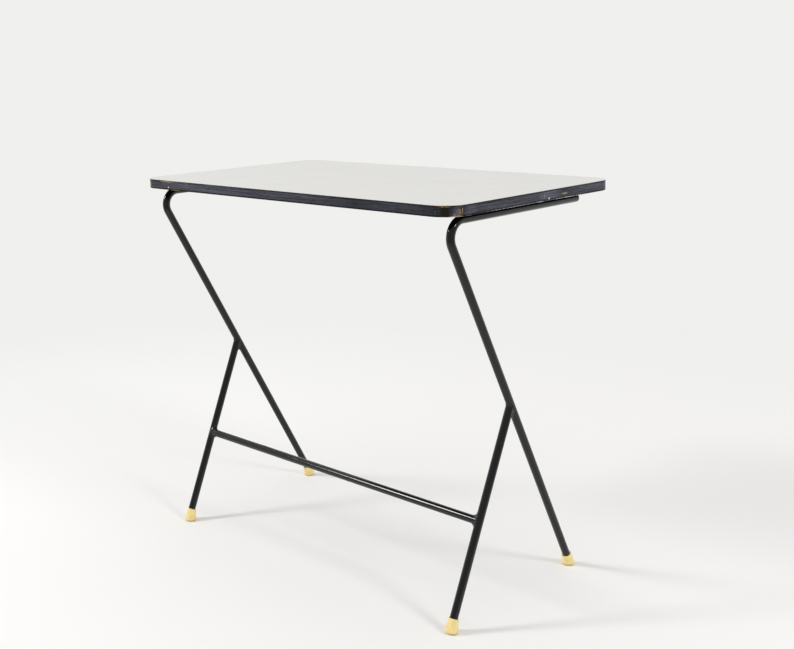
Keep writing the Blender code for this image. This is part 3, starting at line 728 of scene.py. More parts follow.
def stoved_lacquer(rods):
    """Black lacquer stoved on drawn steel rod.

    It is near black and glossy, with a shallow orange peel, a few dust nibs and duller rubbed patches.
    Pinhead chips show grey steel, mostly low down where shoes and brooms catch it.
    """
    name = "black_stoved_lacquer"
    if name in bpy.data.materials:
        return bpy.data.materials[name]
    material, tree = new_material(name)
    spot = node(tree, "ShaderNodeTexCoord").outputs["Object"]
    # Orange peel dimples are 2.2 mm across. Nibs are the rare peaks of a 0.9 mm noise, coarser than real ones
    # so that they show. Rubbed patches are some 28 mm across, and chips are the peaks of a 3.2 mm noise
    peel = node(tree, "ShaderNodeTexNoise", {"Vector": spot, "Scale": 1 / (2.2 * MM), "Detail": 1.0})
    nibs = node(tree, "ShaderNodeTexNoise", {"Vector": spot, "Scale": 1 / (0.9 * MM), "Detail": 1.0})
    nib = node(tree, "ShaderNodeMapRange", {"Value": nibs.outputs[0], "From Min": 0.72, "From Max": 0.8})
    rub = node(tree, "ShaderNodeTexNoise", {"Vector": spot, "Scale": 1 / (28 * MM), "Detail": 4.0})
    rubbed = node(tree, "ShaderNodeMapRange", {
        "Value": rub.outputs[0], "From Min": 0.35, "From Max": 0.7, "To Min": 0.06, "To Max": 0.15,
    })
    chips = node(tree, "ShaderNodeTexNoise", {"Vector": spot, "Scale": 1 / (3.2 * MM), "Detail": 3.0})
    low_down = node(tree, "ShaderNodeSeparateXYZ", {0: spot})
    # Below 300 mm the limit falls, so there are more chips towards the floor
    limit = node(tree, "ShaderNodeMapRange", {
        "Value": low_down.outputs["Z"], "From Min": 0.0, "From Max": 0.3, "To Min": 0.735, "To Max": 0.775,
    })
    over = node(tree, "ShaderNodeMath", {
        0: chips.outputs[0], 1: limit.outputs["Result"],
    }, operation="SUBTRACT")
    chip = node(tree, "ShaderNodeMapRange", {"Value": over.outputs[0], "From Min": 0.0, "From Max": 0.012})
    surface = node(tree, "ShaderNodeMix", {
        0: chip.outputs["Result"], MIX_A: rgba(rods.lacquer), MIX_B: rgba(rods.chipped),
    }, data_type="RGBA").outputs[MIX_RESULT]
    roughness = node(tree, "ShaderNodeMix", {
        0: chip.outputs["Result"], 2: rubbed.outputs["Result"], 3: 0.5,
    })
    relief = node(tree, "ShaderNodeMath", {
        0: nib.outputs["Result"], 1: 1.4, 2: peel.outputs[0],
    }, operation="MULTIPLY_ADD")
    height = node(tree, "ShaderNodeMath", {
        0: chip.outputs["Result"], 1: -3.0, 2: relief.outputs[0],
    }, operation="MULTIPLY_ADD")
    end_material(tree, height.outputs[0], strength=0.6, depth=0.00003, finish={
        "Base Color": surface, "Roughness": roughness.outputs[0], "IOR": 1.45,
    })
    return material


def zinc_plate(fixings):
    """Dull zinc plating on pressed steel screws: grey metal, softly clouded, with darker spots of age."""
    material, tree = new_material("dull_zinc_plate")
    spot = node(tree, "ShaderNodeTexCoord").outputs["Object"]
    # Plating spangle about 1 mm across
    spangle = node(tree, "ShaderNodeTexNoise", {"Vector": spot, "Scale": 1 / (1.0 * MM), "Detail": 4.0})
    tone = node(tree, "ShaderNodeMapRange", {"Value": spangle.outputs[0], "From Min": 0.35, "From Max": 0.65})
    surface = node(tree, "ShaderNodeMix", {
        0: tone.outputs["Result"], MIX_A: rgba(fixings.zinc, 0.55), MIX_B: rgba(fixings.zinc),
    }, data_type="RGBA").outputs[MIX_RESULT]
    roughness = node(tree, "ShaderNodeMapRange", {
        "Value": spangle.outputs[0], "From Min": 0.3, "From Max": 0.7, "To Min": 0.28, "To Max": 0.5,
    })
    end_material(tree, spangle.outputs[0], strength=0.4, depth=0.00002, finish={
        "Base Color": surface, "Metallic": 1.0, "Roughness": roughness.outputs["Result"],
    })
    return material


def moulded_rubber(feet):
    """Cream moulded rubber gone yellow with age.

    It is matt and a little waxy, cloudy in colour and grimy at the base.
    """
    material, tree = new_material("cream_moulded_rubber")
    spot = node(tree, "ShaderNodeTexCoord").outputs["Object"]
    # Yellowed clouds are about 6 mm across. The skin's texture is drawn 0.4 mm wide, coarser than the real
    # one so that it shows
    clouds = node(tree, "ShaderNodeTexNoise", {"Vector": spot, "Scale": 1 / (6 * MM), "Detail": 4.0})
    skin = node(tree, "ShaderNodeTexNoise", {"Vector": spot, "Scale": 1 / (0.4 * MM), "Detail": 3.0})
    tone = node(tree, "ShaderNodeMapRange", {"Value": clouds.outputs[0], "From Min": 0.35, "From Max": 0.65})
    rubber = node(tree, "ShaderNodeMix", {
        0: tone.outputs["Result"], MIX_A: rgba(feet.rubber), MIX_B: rgba(feet.rubber, 1.12),
    }, data_type="RGBA").outputs[MIX_RESULT]
    # Grime within about 4 mm of the floor, its border made ragged by the clouds
    up = node(tree, "ShaderNodeSeparateXYZ", {0: spot})
    ragged = node(tree, "ShaderNodeMath", {
        0: clouds.outputs[0], 1: -0.004, 2: up.outputs["Z"],
    }, operation="MULTIPLY_ADD")
    dirty = node(tree, "ShaderNodeMapRange", {
        "Value": ragged.outputs[0], "From Min": -0.002, "From Max": 0.002, "To Min": 0.75, "To Max": 0.0,
    }, interpolation_type="SMOOTHSTEP")
    surface = node(tree, "ShaderNodeMix", {
        0: dirty.outputs["Result"], MIX_A: rubber, MIX_B: rgba(feet.grime),
    }, data_type="RGBA").outputs[MIX_RESULT]
    roughness = node(tree, "ShaderNodeMapRange", {
        "Value": skin.outputs[0], "From Min": 0.3, "From Max": 0.7, "To Min": 0.48, "To Max": 0.66,
    })
    end_material(tree, skin.outputs[0], strength=0.5, depth=0.00004, finish={
        "Base Color": surface, "Roughness": roughness.outputs["Result"], "IOR": 1.52,
        "Subsurface Weight": 0.12, "Subsurface Scale": 0.002,
    })
    return material


class RodFrame:
    """Where the rods run, worked out from the sizes as the CAD model does.

    The radius is that of the bare steel, and outer is that of the lacquered rod.
    """

    def __init__(self, rods):
        """Work out the points and directions in a side frame's own plane, which leans in by the toe-in."""
        top = box_size("top_board")
        self.radius = rods.diameter / 2
        self.outer = self.radius + rods.coat
        self.run_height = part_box("left_leg")[1].z - self.radius
        self.run_x = top.x / 2 - rods.inset
        self.run_end = Vector((0, top.y / 2 - rods.run_setback, 0))
        self.lean = math.asin(rods.toe_in / self.run_height)
        self.leg_way = Vector((0, math.sin(rods.slant), -math.cos(rods.slant)))
        bend_y = -top.y / 2 + rods.bend_setback + self.radius + rods.bend_radius
        tangent = rods.bend_radius * math.tan((math.pi / 2 + rods.slant) / 2)
        self.corner = Vector((0, bend_y - tangent, 0))
        self.front_floor = Vector((0, -top.y / 2 + rods.foot_setback, self.down(0).z))
        self.back_floor = self.on_leg(0)
        self.joint = self.on_leg(rods.joint_height)
        self.strut_way = (self.front_floor - self.joint).normalized()
        self.bar_point = self.front_floor + self.strut_way * (self.up(rods.bar_height) / self.strut_way.z)

    def up(self, height):
        """Return a height measured along the leaning plane."""
        return height / math.cos(self.lean)

    def down(self, height):
        """Return the plane's point below the run's axis at a height."""
        return Vector((0, 0, -self.up(self.run_height - height)))

    def on_leg(self, height):
        """Return the leg's axis point at a height."""
        return self.corner + self.leg_way * (self.down(height).z / self.leg_way.z)

    def matrix(self, side):
        """Return the matrix that puts one side's plane in the table."""
        lean = Matrix.Rotation(SIDES[side] * self.lean, 4, "Y")
        return Matrix.Translation((SIDES[side] * self.run_x, 0, self.run_height)) @ lean


def make_rod(name, points, rods, material):
    """Sweep one rod with its coat of lacquer along its path, and return it."""
    piece = new_piece(name, path_mesh(name, points))
    use_tree(piece, the_tree(rod_tree, "Bent rod"), {
        "Diameter": rods.diameter + 2 * rods.coat, "Bend Radius": rods.bend_radius,
        "Bend Steps": rods.bend_steps, "Sides": rods.sides, "Material": material,
    })
    settle(piece)
    face_out(piece)
    return piece


def turned(profile, steps):
    """Spin a profile of (radius, height) points about Z into a closed solid."""
    loose = bmesh.new()
    verts = [loose.verts.new((radius, 0, height)) for radius, height in profile]
    edges = [loose.edges.new(pair) for pair in zip(verts, verts[1:])]
    bmesh.ops.spin(
        loose, geom=verts + edges, cent=(0, 0, 0), axis=(0, 0, 1), angle=math.tau, steps=steps,
        use_merge=True,
    )
    bmesh.ops.remove_doubles(loose, verts=loose.verts, dist=COARSE_DOUBLED)
    return loose


def arc(centre, radius, start, end, steps):
    """Return (radius, height) points on an arc, with its angles in degrees."""
    turns = [math.radians(start + (end - start) * step / steps) for step in range(steps + 1)]
    return [(centre[0] + radius * math.cos(turn), centre[1] + radius * math.sin(turn)) for turn in turns]


class MakeBoard(bpy.types.Operator):
    """Make the plywood board with its worn black edge"""

    bl_idname = "side_table.board"
    bl_label = "Board"

    def execute(self, context):
        top = context.scene.side_table_top
        extent = box_size("top_board")
        low, high = (corner.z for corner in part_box("top_board"))
        places = outline(extent.x, extent.y, top.corner_radius, top.mesh_step)
        profile = [(inward, low) for inward in reversed(BOARD_RINGS)]
        rounded = top.board_round
        profile += quarter_round(rounded, low + rounded, rounded, first=-90, steps=4)
        # Enough rows of points up the edge to hold the worn places
        rows = 15
        start = profile[-1][1]
        profile += [(0.0, start + (high - start) * row / rows) for row in range(1, rows + 1)]
        profile += [(BOARD_RINGS[0], high)]
        piece = new_piece("painted_board", slab_mesh("painted_board", places, profile))
        piece.data.materials.append(painted_plywood(top))
        finish_piece(piece, "black_edge_paint", "top_board")
        return {"FINISHED"}


class MakeLaminate(bpy.types.Operator):
    """Make the laminate sheet glued on the board"""

    bl_idname = "side_table.laminate"
    bl_label = "Laminate"

    def execute(self, context):
        top = context.scene.side_table_top
        extent = box_size("top_laminate")
        low, high = (corner.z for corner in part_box("top_laminate"))
        places = outline(extent.x, extent.y, top.corner_radius, top.mesh_step)
        profile = [(BOARD_RINGS[0], low), (0.0, low), (0.0, (low + high) / 2)]
        rounded = top.laminate_round
        profile += quarter_round(rounded, high - rounded, rounded, first=0, steps=3)
        profile += [(inward, high) for inward in LAMINATE_RINGS]
        piece = new_piece("laminate_sheet", slab_mesh("laminate_sheet", places, profile))
        piece.data.materials.append(pressed_laminate(top))
        finish_piece(piece, "pale_grey_laminate", "top_laminate")
        return {"FINISHED"}


class MakeRods(bpy.types.Operator):
    """Make the bent legs, the struts and the cross bar"""

    bl_idname = "side_table.rods"
    bl_label = "Rods"

    def execute(self, context):
        rods, feet = context.scene.side_table_rods, context.scene.side_table_feet
        plan = RodFrame(rods)
        lacquer = stoved_lacquer(rods)
        # Each rod stops where its cap's socket ends, a CAD gap above the sole
        sole = feet.sole + CAD_GAP
        for side in SIDES:
            place = plan.matrix(side)
            leg_end = plan.back_floor - plan.leg_way * sole
            path = [place @ point for point in (plan.run_end, plan.corner, leg_end)]
            leg = make_rod(side + "_bent_leg", path, rods, lacquer)
            self.round_cut_end(leg, path[0], path[1] - path[0], rods)
            finish_piece(leg, "black_lacquered_steel", side + "_leg")
            path = [place @ point for point in (plan.joint, plan.front_floor - plan.strut_way * sole)]
            strut = make_rod(side + "_front_strut", path, rods, lacquer)
            finish_piece(strut, "black_lacquered_steel", side + "_strut")
        path = [plan.matrix(side) @ plan.bar_point for side in SIDES]
        bar = make_rod("long_cross_bar", path, rods, lacquer)
        finish_piece(bar, "black_lacquered_steel", "cross_bar")
        return {"FINISHED"}

    def round_cut_end(self, leg, end, inward, rods):
        """Round the sawn edge at the run's end."""
        loose = bmesh.new()
        loose.from_mesh(leg.data)
        normal, in_plane = inward.normalized(), 0.00001
        cut_points = {vert for vert in loose.verts if abs((vert.co - end).dot(normal)) < in_plane}
        rim = [edge for edge in loose.edges if cut_points.issuperset(edge.verts)]
        bmesh.ops.bevel(
            loose, geom=rim, offset=rods.end_round, offset_type="OFFSET", segments=5, profile=0.5,
            affect="EDGES",
        )
        loose.to_mesh(leg.data)
        loose.free()
        shade_round(leg.data)


class MakeWelds(bpy.types.Operator):
    """Make the weld beads, sunk into their rods, with the ripples of hand welding"""

    bl_idname = "side_table.welds"
    bl_label = "Weld beads"

    def execute(self, context):
        rods = context.scene.side_table_rods
        plan = RodFrame(rods)
        lacquer = stoved_lacquer(rods)
        # The left beads' noise starts at 0 and the right ones' here, so no two sides are alike
        joint_seed, tab_seed = 3.1, 7.7
        for seed, (side, way) in enumerate(SIDES.items()):
            place = plan.matrix(side)
            leg_way = place.to_3x3() @ plan.leg_way
            strut_way = place.to_3x3() @ plan.strut_way
            inward = Vector((-way, 0, 0))
            joints = {
                side + "_strut_weld": (place @ plan.joint, leg_way, strut_way, rods.strut_fillet),
                side + "_bar_weld": (place @ plan.bar_point, strut_way, inward, rods.bar_fillet),
            }
            for name, joint in joints.items():
                mesh = self.rolled_fillet(name, *joint, plan.outer)
                self.finish_bead(name, mesh, rods, lacquer, levels=1, seed=joint_seed * seed)
            for spot in PLACES:
                name = "%s_%s_tab_weld" % (spot, side)
                mesh = self.sunk_bead(name, place @ plan.run_end, plan.radius)
                self.finish_bead(name, mesh, rods, lacquer, levels=2, seed=tab_seed * seed)
        return {"FINISHED"}

    def rolled_fillet(self, name, joint, main, branch, ball, radius):
        """Return the hollow bead that a ball leaves when it rolls round the corner between two equal rods.

        The main and branch directions leave the joint along the rods' axes. The bead stands slightly proud of
        the ball. It runs a little way on along both rods, where its toes dip under their surface, and its
        root is buried in them.
        """
        proud, dip, run_on, buried = 0.0003, 0.0004, 0.0016, 0.0014
        # The middle of the bead stands proudest, and its toes by this share of that swell
        toe_share = 0.6
        side_way = main.cross(branch).normalized()
        front_way = side_way.cross(branch)
        flat_branch = branch - main * branch.dot(main)

        def crossing(normal, reach):
            """Return the point at one distance from both axes, on the branch's side that the normal faces."""
            flat_normal = normal - main * normal.dot(main)
            lean = flat_branch.dot(flat_normal)
            inside = lean**2 - flat_branch.length_squared * (flat_normal.length_squared - 1)
            along = reach * (math.sqrt(max(inside, 0)) - lean) / flat_branch.length_squared
            return normal * reach + branch * along

        sections, count, arc_steps = [], 96, 8
        for step in range(count):
            turn = math.tau * (step + 0.5) / count
            normal = front_way * math.cos(turn) + side_way * math.sin(turn)
            centre = crossing(normal, radius + ball)
            to_main = (main * centre.dot(main) - centre).normalized()
            to_branch = -normal
            away = normal * math.cos(turn) ** 2 - branch * math.sin(turn) ** 2
            away = (away - to_main * away.dot(to_main)).normalized()
            section = [crossing(normal, radius - buried)]
            section.append(centre + to_main * (ball + dip) + away * run_on)
            for at in range(arc_steps + 1):
                ray = to_main.lerp(to_branch, at / arc_steps).normalized()
                swell = toe_share + math.sin(math.pi * at / arc_steps)
                section.append(centre + ray * (ball - proud * swell))
            section.append(centre + to_branch * (ball + dip) + branch * run_on)
            sections.append(section)
        corners = len(sections[0])
        mesh = bpy.data.meshes.new(name)
        faces = []
        for here in range(count):
            this, following = here * corners, (here + 1) % count * corners
            for corner in range(corners):
                after = (corner + 1) % corners
                faces.append((this + corner, this + after, following + after, following + corner))
        mesh.from_pydata([joint + point for section in sections for point in section], [], faces)
        return mesh

    def sunk_bead(self, name, run_end, radius):
        """Return a copy of a tab's CAD bead with its two seats sunk into the run and the tab."""
        loose = bmesh.new()
        loose.from_mesh(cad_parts[name].data)
        bmesh.ops.remove_doubles(loose, verts=loose.verts, dist=COARSE_DOUBLED)
        bmesh.ops.join_triangles(
            loose, faces=loose.faces, angle_face_threshold=math.radians(40),
            angle_shape_threshold=math.radians(60),
        )
        seat, slack = radius + CAD_GAP, 0.00012
        sunk_in_run, sunk_in_tab = 0.0007, 0.0004
        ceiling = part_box(name)[1].z
        for vert in loose.verts:
            out = Vector((vert.co.x - run_end.x, 0, vert.co.z - run_end.z))
            if abs(out.length - seat) < slack:
                vert.co -= out.normalized() * sunk_in_run
            if vert.co.z > ceiling - slack:
                vert.co.z += sunk_in_tab
        mesh = bpy.data.meshes.new(name)
        loose.to_mesh(mesh)
        loose.free()
        return mesh

    def finish_bead(self, name, mesh, rods, lacquer, levels, seed):
        """Raise a bead's ripples on a finer mesh, and let it stand for its CAD node."""
        bead = new_piece(name + "_bead", mesh)
        finer = bead.modifiers.new("Finer", "SUBSURF")
        finer.levels = finer.render_levels = levels
        use_tree(bead, the_tree(ripple_tree, "Weld ripples"), {
            "Ripple Height": rods.ripple_height, "Ripple Size": rods.ripple_size, "Seed": seed,
            "Material": lacquer,
        })
        settle(bead)
        face_out(bead)
        finish_piece(bead, "black_lacquered_steel", name)


def copies(name, piece, points, turns, material):
    """Set copies of one piece on points and return them as one object. The piece itself is removed."""
    cloud = bpy.data.meshes.new(name)
    cloud.from_pydata([tuple(point) for point in points], [], [])
    cloud.attributes.new("turn", "FLOAT", "POINT").data.foreach_set("value", turns)
    made = new_piece(name, cloud)
    use_tree(made, the_tree(copies_tree, "Copies on points"), {"Piece": piece, "Material": material})
    settle(made)
    bpy.data.objects.remove(piece)
    shade_round(made.data)
    return made


def cut(piece, cutter):
    """Cut one piece with another by an exact Boolean, and remove the cutter."""
    modifier = piece.modifiers.new("Cut", "BOOLEAN")
    modifier.operation, modifier.solver, modifier.object = "DIFFERENCE", "EXACT", cutter
    settle(piece)
    bpy.data.objects.remove(cutter)


def soften(piece, width):
    """Round a piece's sharp edges by a small width."""
    modifier = piece.modifiers.new("Soft edges", "BEVEL")
    modifier.width, modifier.segments, modifier.limit_method = width, 2, "ANGLE"
    modifier.angle_limit = SMOOTH_ANGLE
    settle(piece)


def as_piece(name, loose):
    """Turn a bmesh into an object with its faces out."""
    bmesh.ops.recalc_face_normals(loose, faces=loose.faces)
    mesh = bpy.data.meshes.new(name)
    loose.to_mesh(mesh)
    loose.free()
    return new_piece(name, mesh)


class MakeTabs(bpy.types.Operator):
    """Make the four steel tabs that carry the board"""

    bl_idname = "side_table.tabs"
    bl_label = "Fixing tabs"

    def execute(self, context):
        rods, fixings = context.scene.side_table_rods, context.scene.side_table_fixings
        plan = RodFrame(rods)
        extent = box_size("front_left_tab")
        # The tab is drawn with the run's centre line at x = 0: from its welded end to its round one
        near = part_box("front_left_tab")[0].x + plan.run_x
        far, half = near + extent.x, extent.y / 2
        # A full half would let the two round corners meet in doubled points
        corner_round = half * 0.999
        loose = bmesh.new()
        corners = ((near, -half), (far, -half), (far, half), (near, half))
        verts = [loose.verts.new((x, y, 0)) for x, y in corners]
        loose.faces.new(verts)
        bmesh.ops.bevel(
            loose, geom=verts[1:3], offset=corner_round, offset_type="OFFSET", segments=20, profile=0.5,
            affect="VERTICES",
        )
        made = bmesh.ops.extrude_face_region(loose, geom=list(loose.faces))["geom"]
        moved = [item for item in made if isinstance(item, bmesh.types.BMVert)]
        bmesh.ops.translate(loose, verts=moved, vec=(0, 0, extent.z))
        tab = as_piece("tab", loose)
        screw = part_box("front_left_screw")
        hole_x = (screw[0].x + screw[1].x) / 2 + plan.run_x
        hole = bmesh.new()
        bmesh.ops.create_cone(
            hole, cap_ends=True, segments=32, radius1=fixings.tab_hole, radius2=fixings.tab_hole,
            depth=0.01, matrix=Matrix.Translation((hole_x, 0, 0)),
        )
        cut(tab, as_piece("hole", hole))
        soften(tab, fixings.tab_soft)
        names, points, turns = [], [], []
        for side in SIDES:
            for spot in PLACES:
                names.append("%s_%s_tab" % (spot, side))
                low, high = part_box(names[-1])
                points.append((SIDES[side] * plan.run_x, (low.y + high.y) / 2, low.z))
                turns.append(0.0 if side == "left" else math.pi)
        tabs = copies("fixing_tabs", tab, points, turns, stoved_lacquer(rods))
        finish_piece(tabs, "black_lacquered_steel", *names)
        return {"FINISHED"}


class MakeScrews(bpy.types.Operator):
    """Make the four slotted wood screws"""

    bl_idname = "side_table.screws"
    bl_label = "Wood screws"

    def execute(self, context):
        fixings = context.scene.side_table_fixings
        extent = box_size("front_left_screw")
        head, dome = extent.x / 2, fixings.dome
        length = extent.z - dome
        # The head's flat face is at z = 0, its dome hangs below it and the shank stands on it
        sphere = (head**2 + dome**2) / (2 * dome)
        spread = math.degrees(math.asin(head / sphere))
        profile = arc((0, sphere - dome), sphere, -90, -90 + spread, 10)
        profile[0] = (0, -dome)
        under_head = 0.0001
        profile += [(fixings.shank, under_head), (fixings.shank, length - fixings.point), (0, length)]
        screw = as_piece("screw", turned(profile, steps=40))
        slot = bmesh.new()
        shape = Matrix.Diagonal((4 * head, fixings.slot_width, fixings.slot_height, 1))
        bmesh.ops.create_cube(slot, size=1, matrix=Matrix.Translation((0, 0, -dome)) @ shape)
        cut(screw, as_piece("slot", slot))
        soften(screw, fixings.screw_soft)
        # Nobody lines up the slots of four screws
        slot_turns = (0.6, 2.0)
        names, points, turns = [], [], []
        for side in SIDES:
            for spot, turn in zip(PLACES, slot_turns):
                names.append("%s_%s_screw" % (spot, side))
                low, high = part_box(names[-1])
                points.append(((low.x + high.x) / 2, (low.y + high.y) / 2, high.z - length))
                turns.append(turn)
        screws = copies("wood_screws", screw, points, turns, zinc_plate(fixings))
        finish_piece(screws, "zinc_plated_steel", *names)
        return {"FINISHED"}


class MakeFeet(bpy.types.Operator):
    """Make the four rubber caps"""

    bl_idname = "side_table.feet"
    bl_label = "Rubber feet"

    def execute(self, context):
        rods, feet = context.scene.side_table_rods, context.scene.side_table_feet
        plan = RodFrame(rods)
        rubber = moulded_rubber(feet)
        for side in SIDES:
            ends = {
                "front": (plan.front_floor, -plan.strut_way, 1),
                "back": (plan.back_floor, -plan.leg_way, -1),
            }
            for spot, (floor_point, upward, inward) in ends.items():
                name = "%s_%s_foot" % (spot, side)
                turn = upward.to_track_quat("Z", "Y").to_matrix().to_4x4()
                place = plan.matrix(side) @ Matrix.Translation(floor_point) @ turn
                cap = as_piece("%s_%s_cap" % (spot, side), self.cap(feet, plan.outer, place, inward))
                shade_round(cap.data)
                cap.data.materials.append(rubber)
                finish_piece(cap, "cream_rubber", name)
        return {"FINISHED"}

    def cap(self, feet, rod_radius, place, inward):
        """Return one cap in its place, crept inwards, a little uneven, and cut level with the floor."""
        lip = rod_radius + feet.wall
        base = lip + feet.flare
        bottom = -feet.worn_away
        # The socket is pushed on tight, so it is a hair smaller than the rod, and all outside skin is wider
        grip, skin = 0.00005, 0.0002
        # The skin's unevenness, up to 0.12 mm deep with lumps some 6 mm apart
        lumps_per_metre, lump_height = 180, 0.00012
        socket = rod_radius - grip
        rim, round_lip = feet.rim_round, feet.lip_round
        inner_ring = base * 0.4
        profile = [(0, bottom), (inner_ring, bottom)]
        profile += arc((base - rim, bottom + rim), rim, -90, 0, 8)
        side_steps = 12
        (out, up), end_up = profile[-1], feet.height - round_lip
        for step in range(1, side_steps):
            part = step / side_steps
            profile.append((out + (lip - out) * part, up + (end_up - up) * part))
        profile += arc((lip - round_lip, feet.height - round_lip), round_lip, 0, 90, 5)
        profile += [(socket, feet.height), (socket, feet.sole), (0, feet.sole)]
        loose = turned(profile, steps=64)
        creep = place.to_3x3().inverted() @ Vector((0, inward * feet.creep, 0))
        for vert in loose.verts:
            out = Vector((vert.co.x, vert.co.y, 0))
            is_skin = out.length > rod_radius + skin
            if vert.co.z < feet.sole - CAD_GAP or is_skin:
                vert.co += creep * (1 - vert.co.z / feet.height)
            if is_skin:
                wave = noise.noise(place @ vert.co * lumps_per_metre) * lump_height
                vert.co -= out.normalized() * abs(wave)
            vert.co = place @ vert.co
        bmesh.ops.bisect_plane(
            loose, geom=[*loose.verts, *loose.edges, *loose.faces], dist=0.0000001,
            plane_co=(0, 0, 0), plane_no=(0, 0, 1), clear_inner=True,
        )
        bmesh.ops.holes_fill(loose, edges=[edge for edge in loose.edges if edge.is_boundary])
        return loose


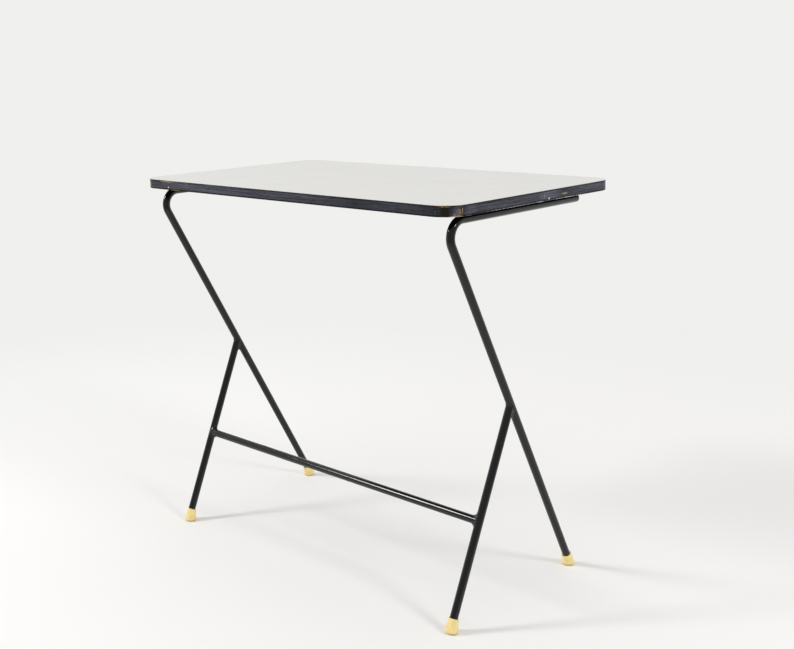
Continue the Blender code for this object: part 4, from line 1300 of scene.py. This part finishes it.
class MakeStudio(bpy.types.Operator):
    """Make the pale floor, the soft light and the camera"""

    bl_idname = "side_table.studio"
    bl_label = "Studio"

    def execute(self, context):
        studio = context.scene.side_table_studio
        self.floor(studio)
        self.world(context.scene, studio)
        for name, (place, extent) in LAMPS.items():
            self.lamp(name, place, extent, getattr(studio, name))
        self.camera(context.scene, studio)
        context.scene.view_settings.view_transform = "Standard"
        return {"FINISHED"}

    def shown_rays(self, tree):
        """Return a mask of camera rays, and one of every ray that shows the background."""
        ray = node(tree, "ShaderNodeLightPath").outputs
        direct = node(tree, "ShaderNodeMath", {
            0: ray["Is Camera Ray"], 1: ray["Is Glossy Ray"],
        }, operation="MAXIMUM")
        shown = node(tree, "ShaderNodeMath", {
            0: direct.outputs[0], 1: ray["Is Transmission Ray"],
        }, operation="MAXIMUM")
        return ray["Is Camera Ray"], shown.outputs[0]

    def floor(self, studio):
        """Add a round floor that fades into the background before its edge."""
        loose = bmesh.new()
        bmesh.ops.create_circle(loose, cap_ends=True, segments=128, radius=studio.floor_radius)
        floor = as_piece("studio_floor", loose)
        # It lies a hair under the soles, so that the two don't flicker
        hair = 0.00002
        floor.data.transform(Matrix.Translation((0, 0, -hair)))
        material, tree = new_material("pale_matt_paper_floor")
        spot = node(tree, "ShaderNodeTexCoord").outputs["Object"]
        far = node(tree, "ShaderNodeVectorMath", {0: spot}, operation="LENGTH")
        fade = node(tree, "ShaderNodeMapRange", {
            "Value": far.outputs["Value"], "From Min": studio.fade_start, "From Max": studio.fade_end,
        }, interpolation_type="SMOOTHSTEP")
        paper = node(tree, "ShaderNodeBsdfPrincipled", {
            "Base Color": rgba(studio.floor), "Roughness": 0.9, "Specular IOR Level": 0.1,
        })
        clear = node(tree, "ShaderNodeBsdfTransparent")
        # The far floor gives way to the pale background where it is seen, but still throws light on the table
        gone = node(tree, "ShaderNodeMath", {
            0: fade.outputs["Result"], 1: self.shown_rays(tree)[1],
        }, operation="MULTIPLY")
        mixed = node(tree, "ShaderNodeMixShader", {
            0: gone.outputs[0], 1: paper.outputs[0], 2: clear.outputs[0],
        })
        node(tree, "ShaderNodeOutputMaterial", {"Surface": mixed.outputs[0]})
        floor.data.materials.append(material)

    def world(self, scene, studio):
        """Light the table evenly from all round, and show the camera and the gloss a pale background."""
        world = bpy.data.worlds.new("pale_room")
        world.use_nodes = True
        tree = world.node_tree
        tree.nodes.clear()
        # Away from the backdrop the room is dimmer, which only gloss shows
        looking = node(tree, "ShaderNodeTexCoord").outputs["Generated"]
        backdrop = node(tree, "ShaderNodeVectorMath", {0: looking, 1: BACKDROP_WAY}, operation="DOT_PRODUCT")
        lit = node(tree, "ShaderNodeMapRange", {
            "Value": backdrop.outputs["Value"], "From Min": -0.5, "From Max": 0.3,
        }, interpolation_type="SMOOTHSTEP")
        light = node(tree, "ShaderNodeBackground", {
            "Color": rgba((1.0, 1.0, 1.0)), "Strength": studio.daylight,
        })
        camera_ray, shown = self.shown_rays(tree)
        pale = node(tree, "ShaderNodeMath", {0: lit.outputs["Result"], 1: camera_ray}, operation="MAXIMUM")
        room = node(tree, "ShaderNodeMix", {
            0: pale.outputs[0], MIX_A: rgba(studio.dim_side), MIX_B: rgba(studio.background),
        }, data_type="RGBA").outputs[MIX_RESULT]
        seen = node(tree, "ShaderNodeBackground", {"Color": room, "Strength": 1.0})
        mixed = node(tree, "ShaderNodeMixShader", {0: shown, 1: light.outputs[0], 2: seen.outputs[0]})
        node(tree, "ShaderNodeOutputWorld", {"Surface": mixed.outputs[0]})
        scene.world = world

    def lamp(self, name, place, extent, power):
        """Add a soft lamp that faces the middle of the table."""
        data = bpy.data.lights.new(name, "AREA")
        data.shape, data.energy = "RECTANGLE", power
        data.size, data.size_y = extent
        lamp = bpy.data.objects.new(name, data)
        lamp.location = place
        lamp.rotation_euler = (TABLE_MIDDLE - Vector(place)).to_track_quat("-Z", "Y").to_euler()
        bpy.context.scene.collection.objects.link(lamp)

    def camera(self, scene, studio):
        """Add the camera at the photo's viewing angle."""
        data = bpy.data.cameras.new("photo_camera")
        data.sensor_width, data.lens = 36.0, studio.lens
        camera = bpy.data.objects.new("photo_camera", data)
        yaw, pitch, roll = (math.radians(angle) for angle in CAMERA_ANGLES)
        flat = math.cos(pitch)
        forward = Vector((-math.sin(yaw) * flat, math.cos(yaw) * flat, -math.sin(pitch)))
        level = Vector((math.cos(yaw), math.sin(yaw), 0))
        upright = level.cross(forward)
        right = level * math.cos(roll) + upright * math.sin(roll)
        up = upright * math.cos(roll) - level * math.sin(roll)
        turn = Matrix((right, up, -forward)).transposed().to_4x4()
        camera.matrix_world = Matrix.Translation(CAMERA_PLACE) @ turn
        scene.collection.objects.link(camera)
        scene.camera = camera


OPERATORS = (MakeBoard, MakeLaminate, MakeRods, MakeWelds, MakeTabs, MakeScrews, MakeFeet, MakeStudio)
SETTINGS = {
    "side_table_top": TopSettings,
    "side_table_rods": RodSettings,
    "side_table_fixings": FixingSettings,
    "side_table_feet": FootSettings,
    "side_table_studio": StudioSettings,
}


class SideTablePanel(bpy.types.Panel):
    """Lists the table's pieces and settings in the sidebar"""

    bl_idname = "VIEW3D_PT_side_table"
    bl_label = "Side Table"
    bl_space_type = "VIEW_3D"
    bl_region_type = "UI"
    bl_category = "Side Table"

    def draw(self, context):
        for operator in OPERATORS:
            self.layout.operator(operator.bl_idname)
        for name, group in SETTINGS.items():
            settings = getattr(context.scene, name)
            box = self.layout.box()
            for setting in group.__annotations__:
                box.prop(settings, setting)


def register():
    """Register the settings, the operators and the panel."""
    for kind in (*SETTINGS.values(), *OPERATORS, SideTablePanel):
        bpy.utils.register_class(kind)
    for name, group in SETTINGS.items():
        setattr(bpy.types.Scene, name, PointerProperty(type=group))


def unregister():
    """Take everything back out again."""
    for name in SETTINGS:
        delattr(bpy.types.Scene, name)
    for kind in reversed((*SETTINGS.values(), *OPERATORS, SideTablePanel)):
        bpy.utils.unregister_class(kind)


def main():
    """Build every piece in order."""
    register()
    for operator in OPERATORS:
        group, name = operator.bl_idname.split(".")
        getattr(getattr(bpy.ops, group), name)()
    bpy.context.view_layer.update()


if __name__ == "__main__":
    main()
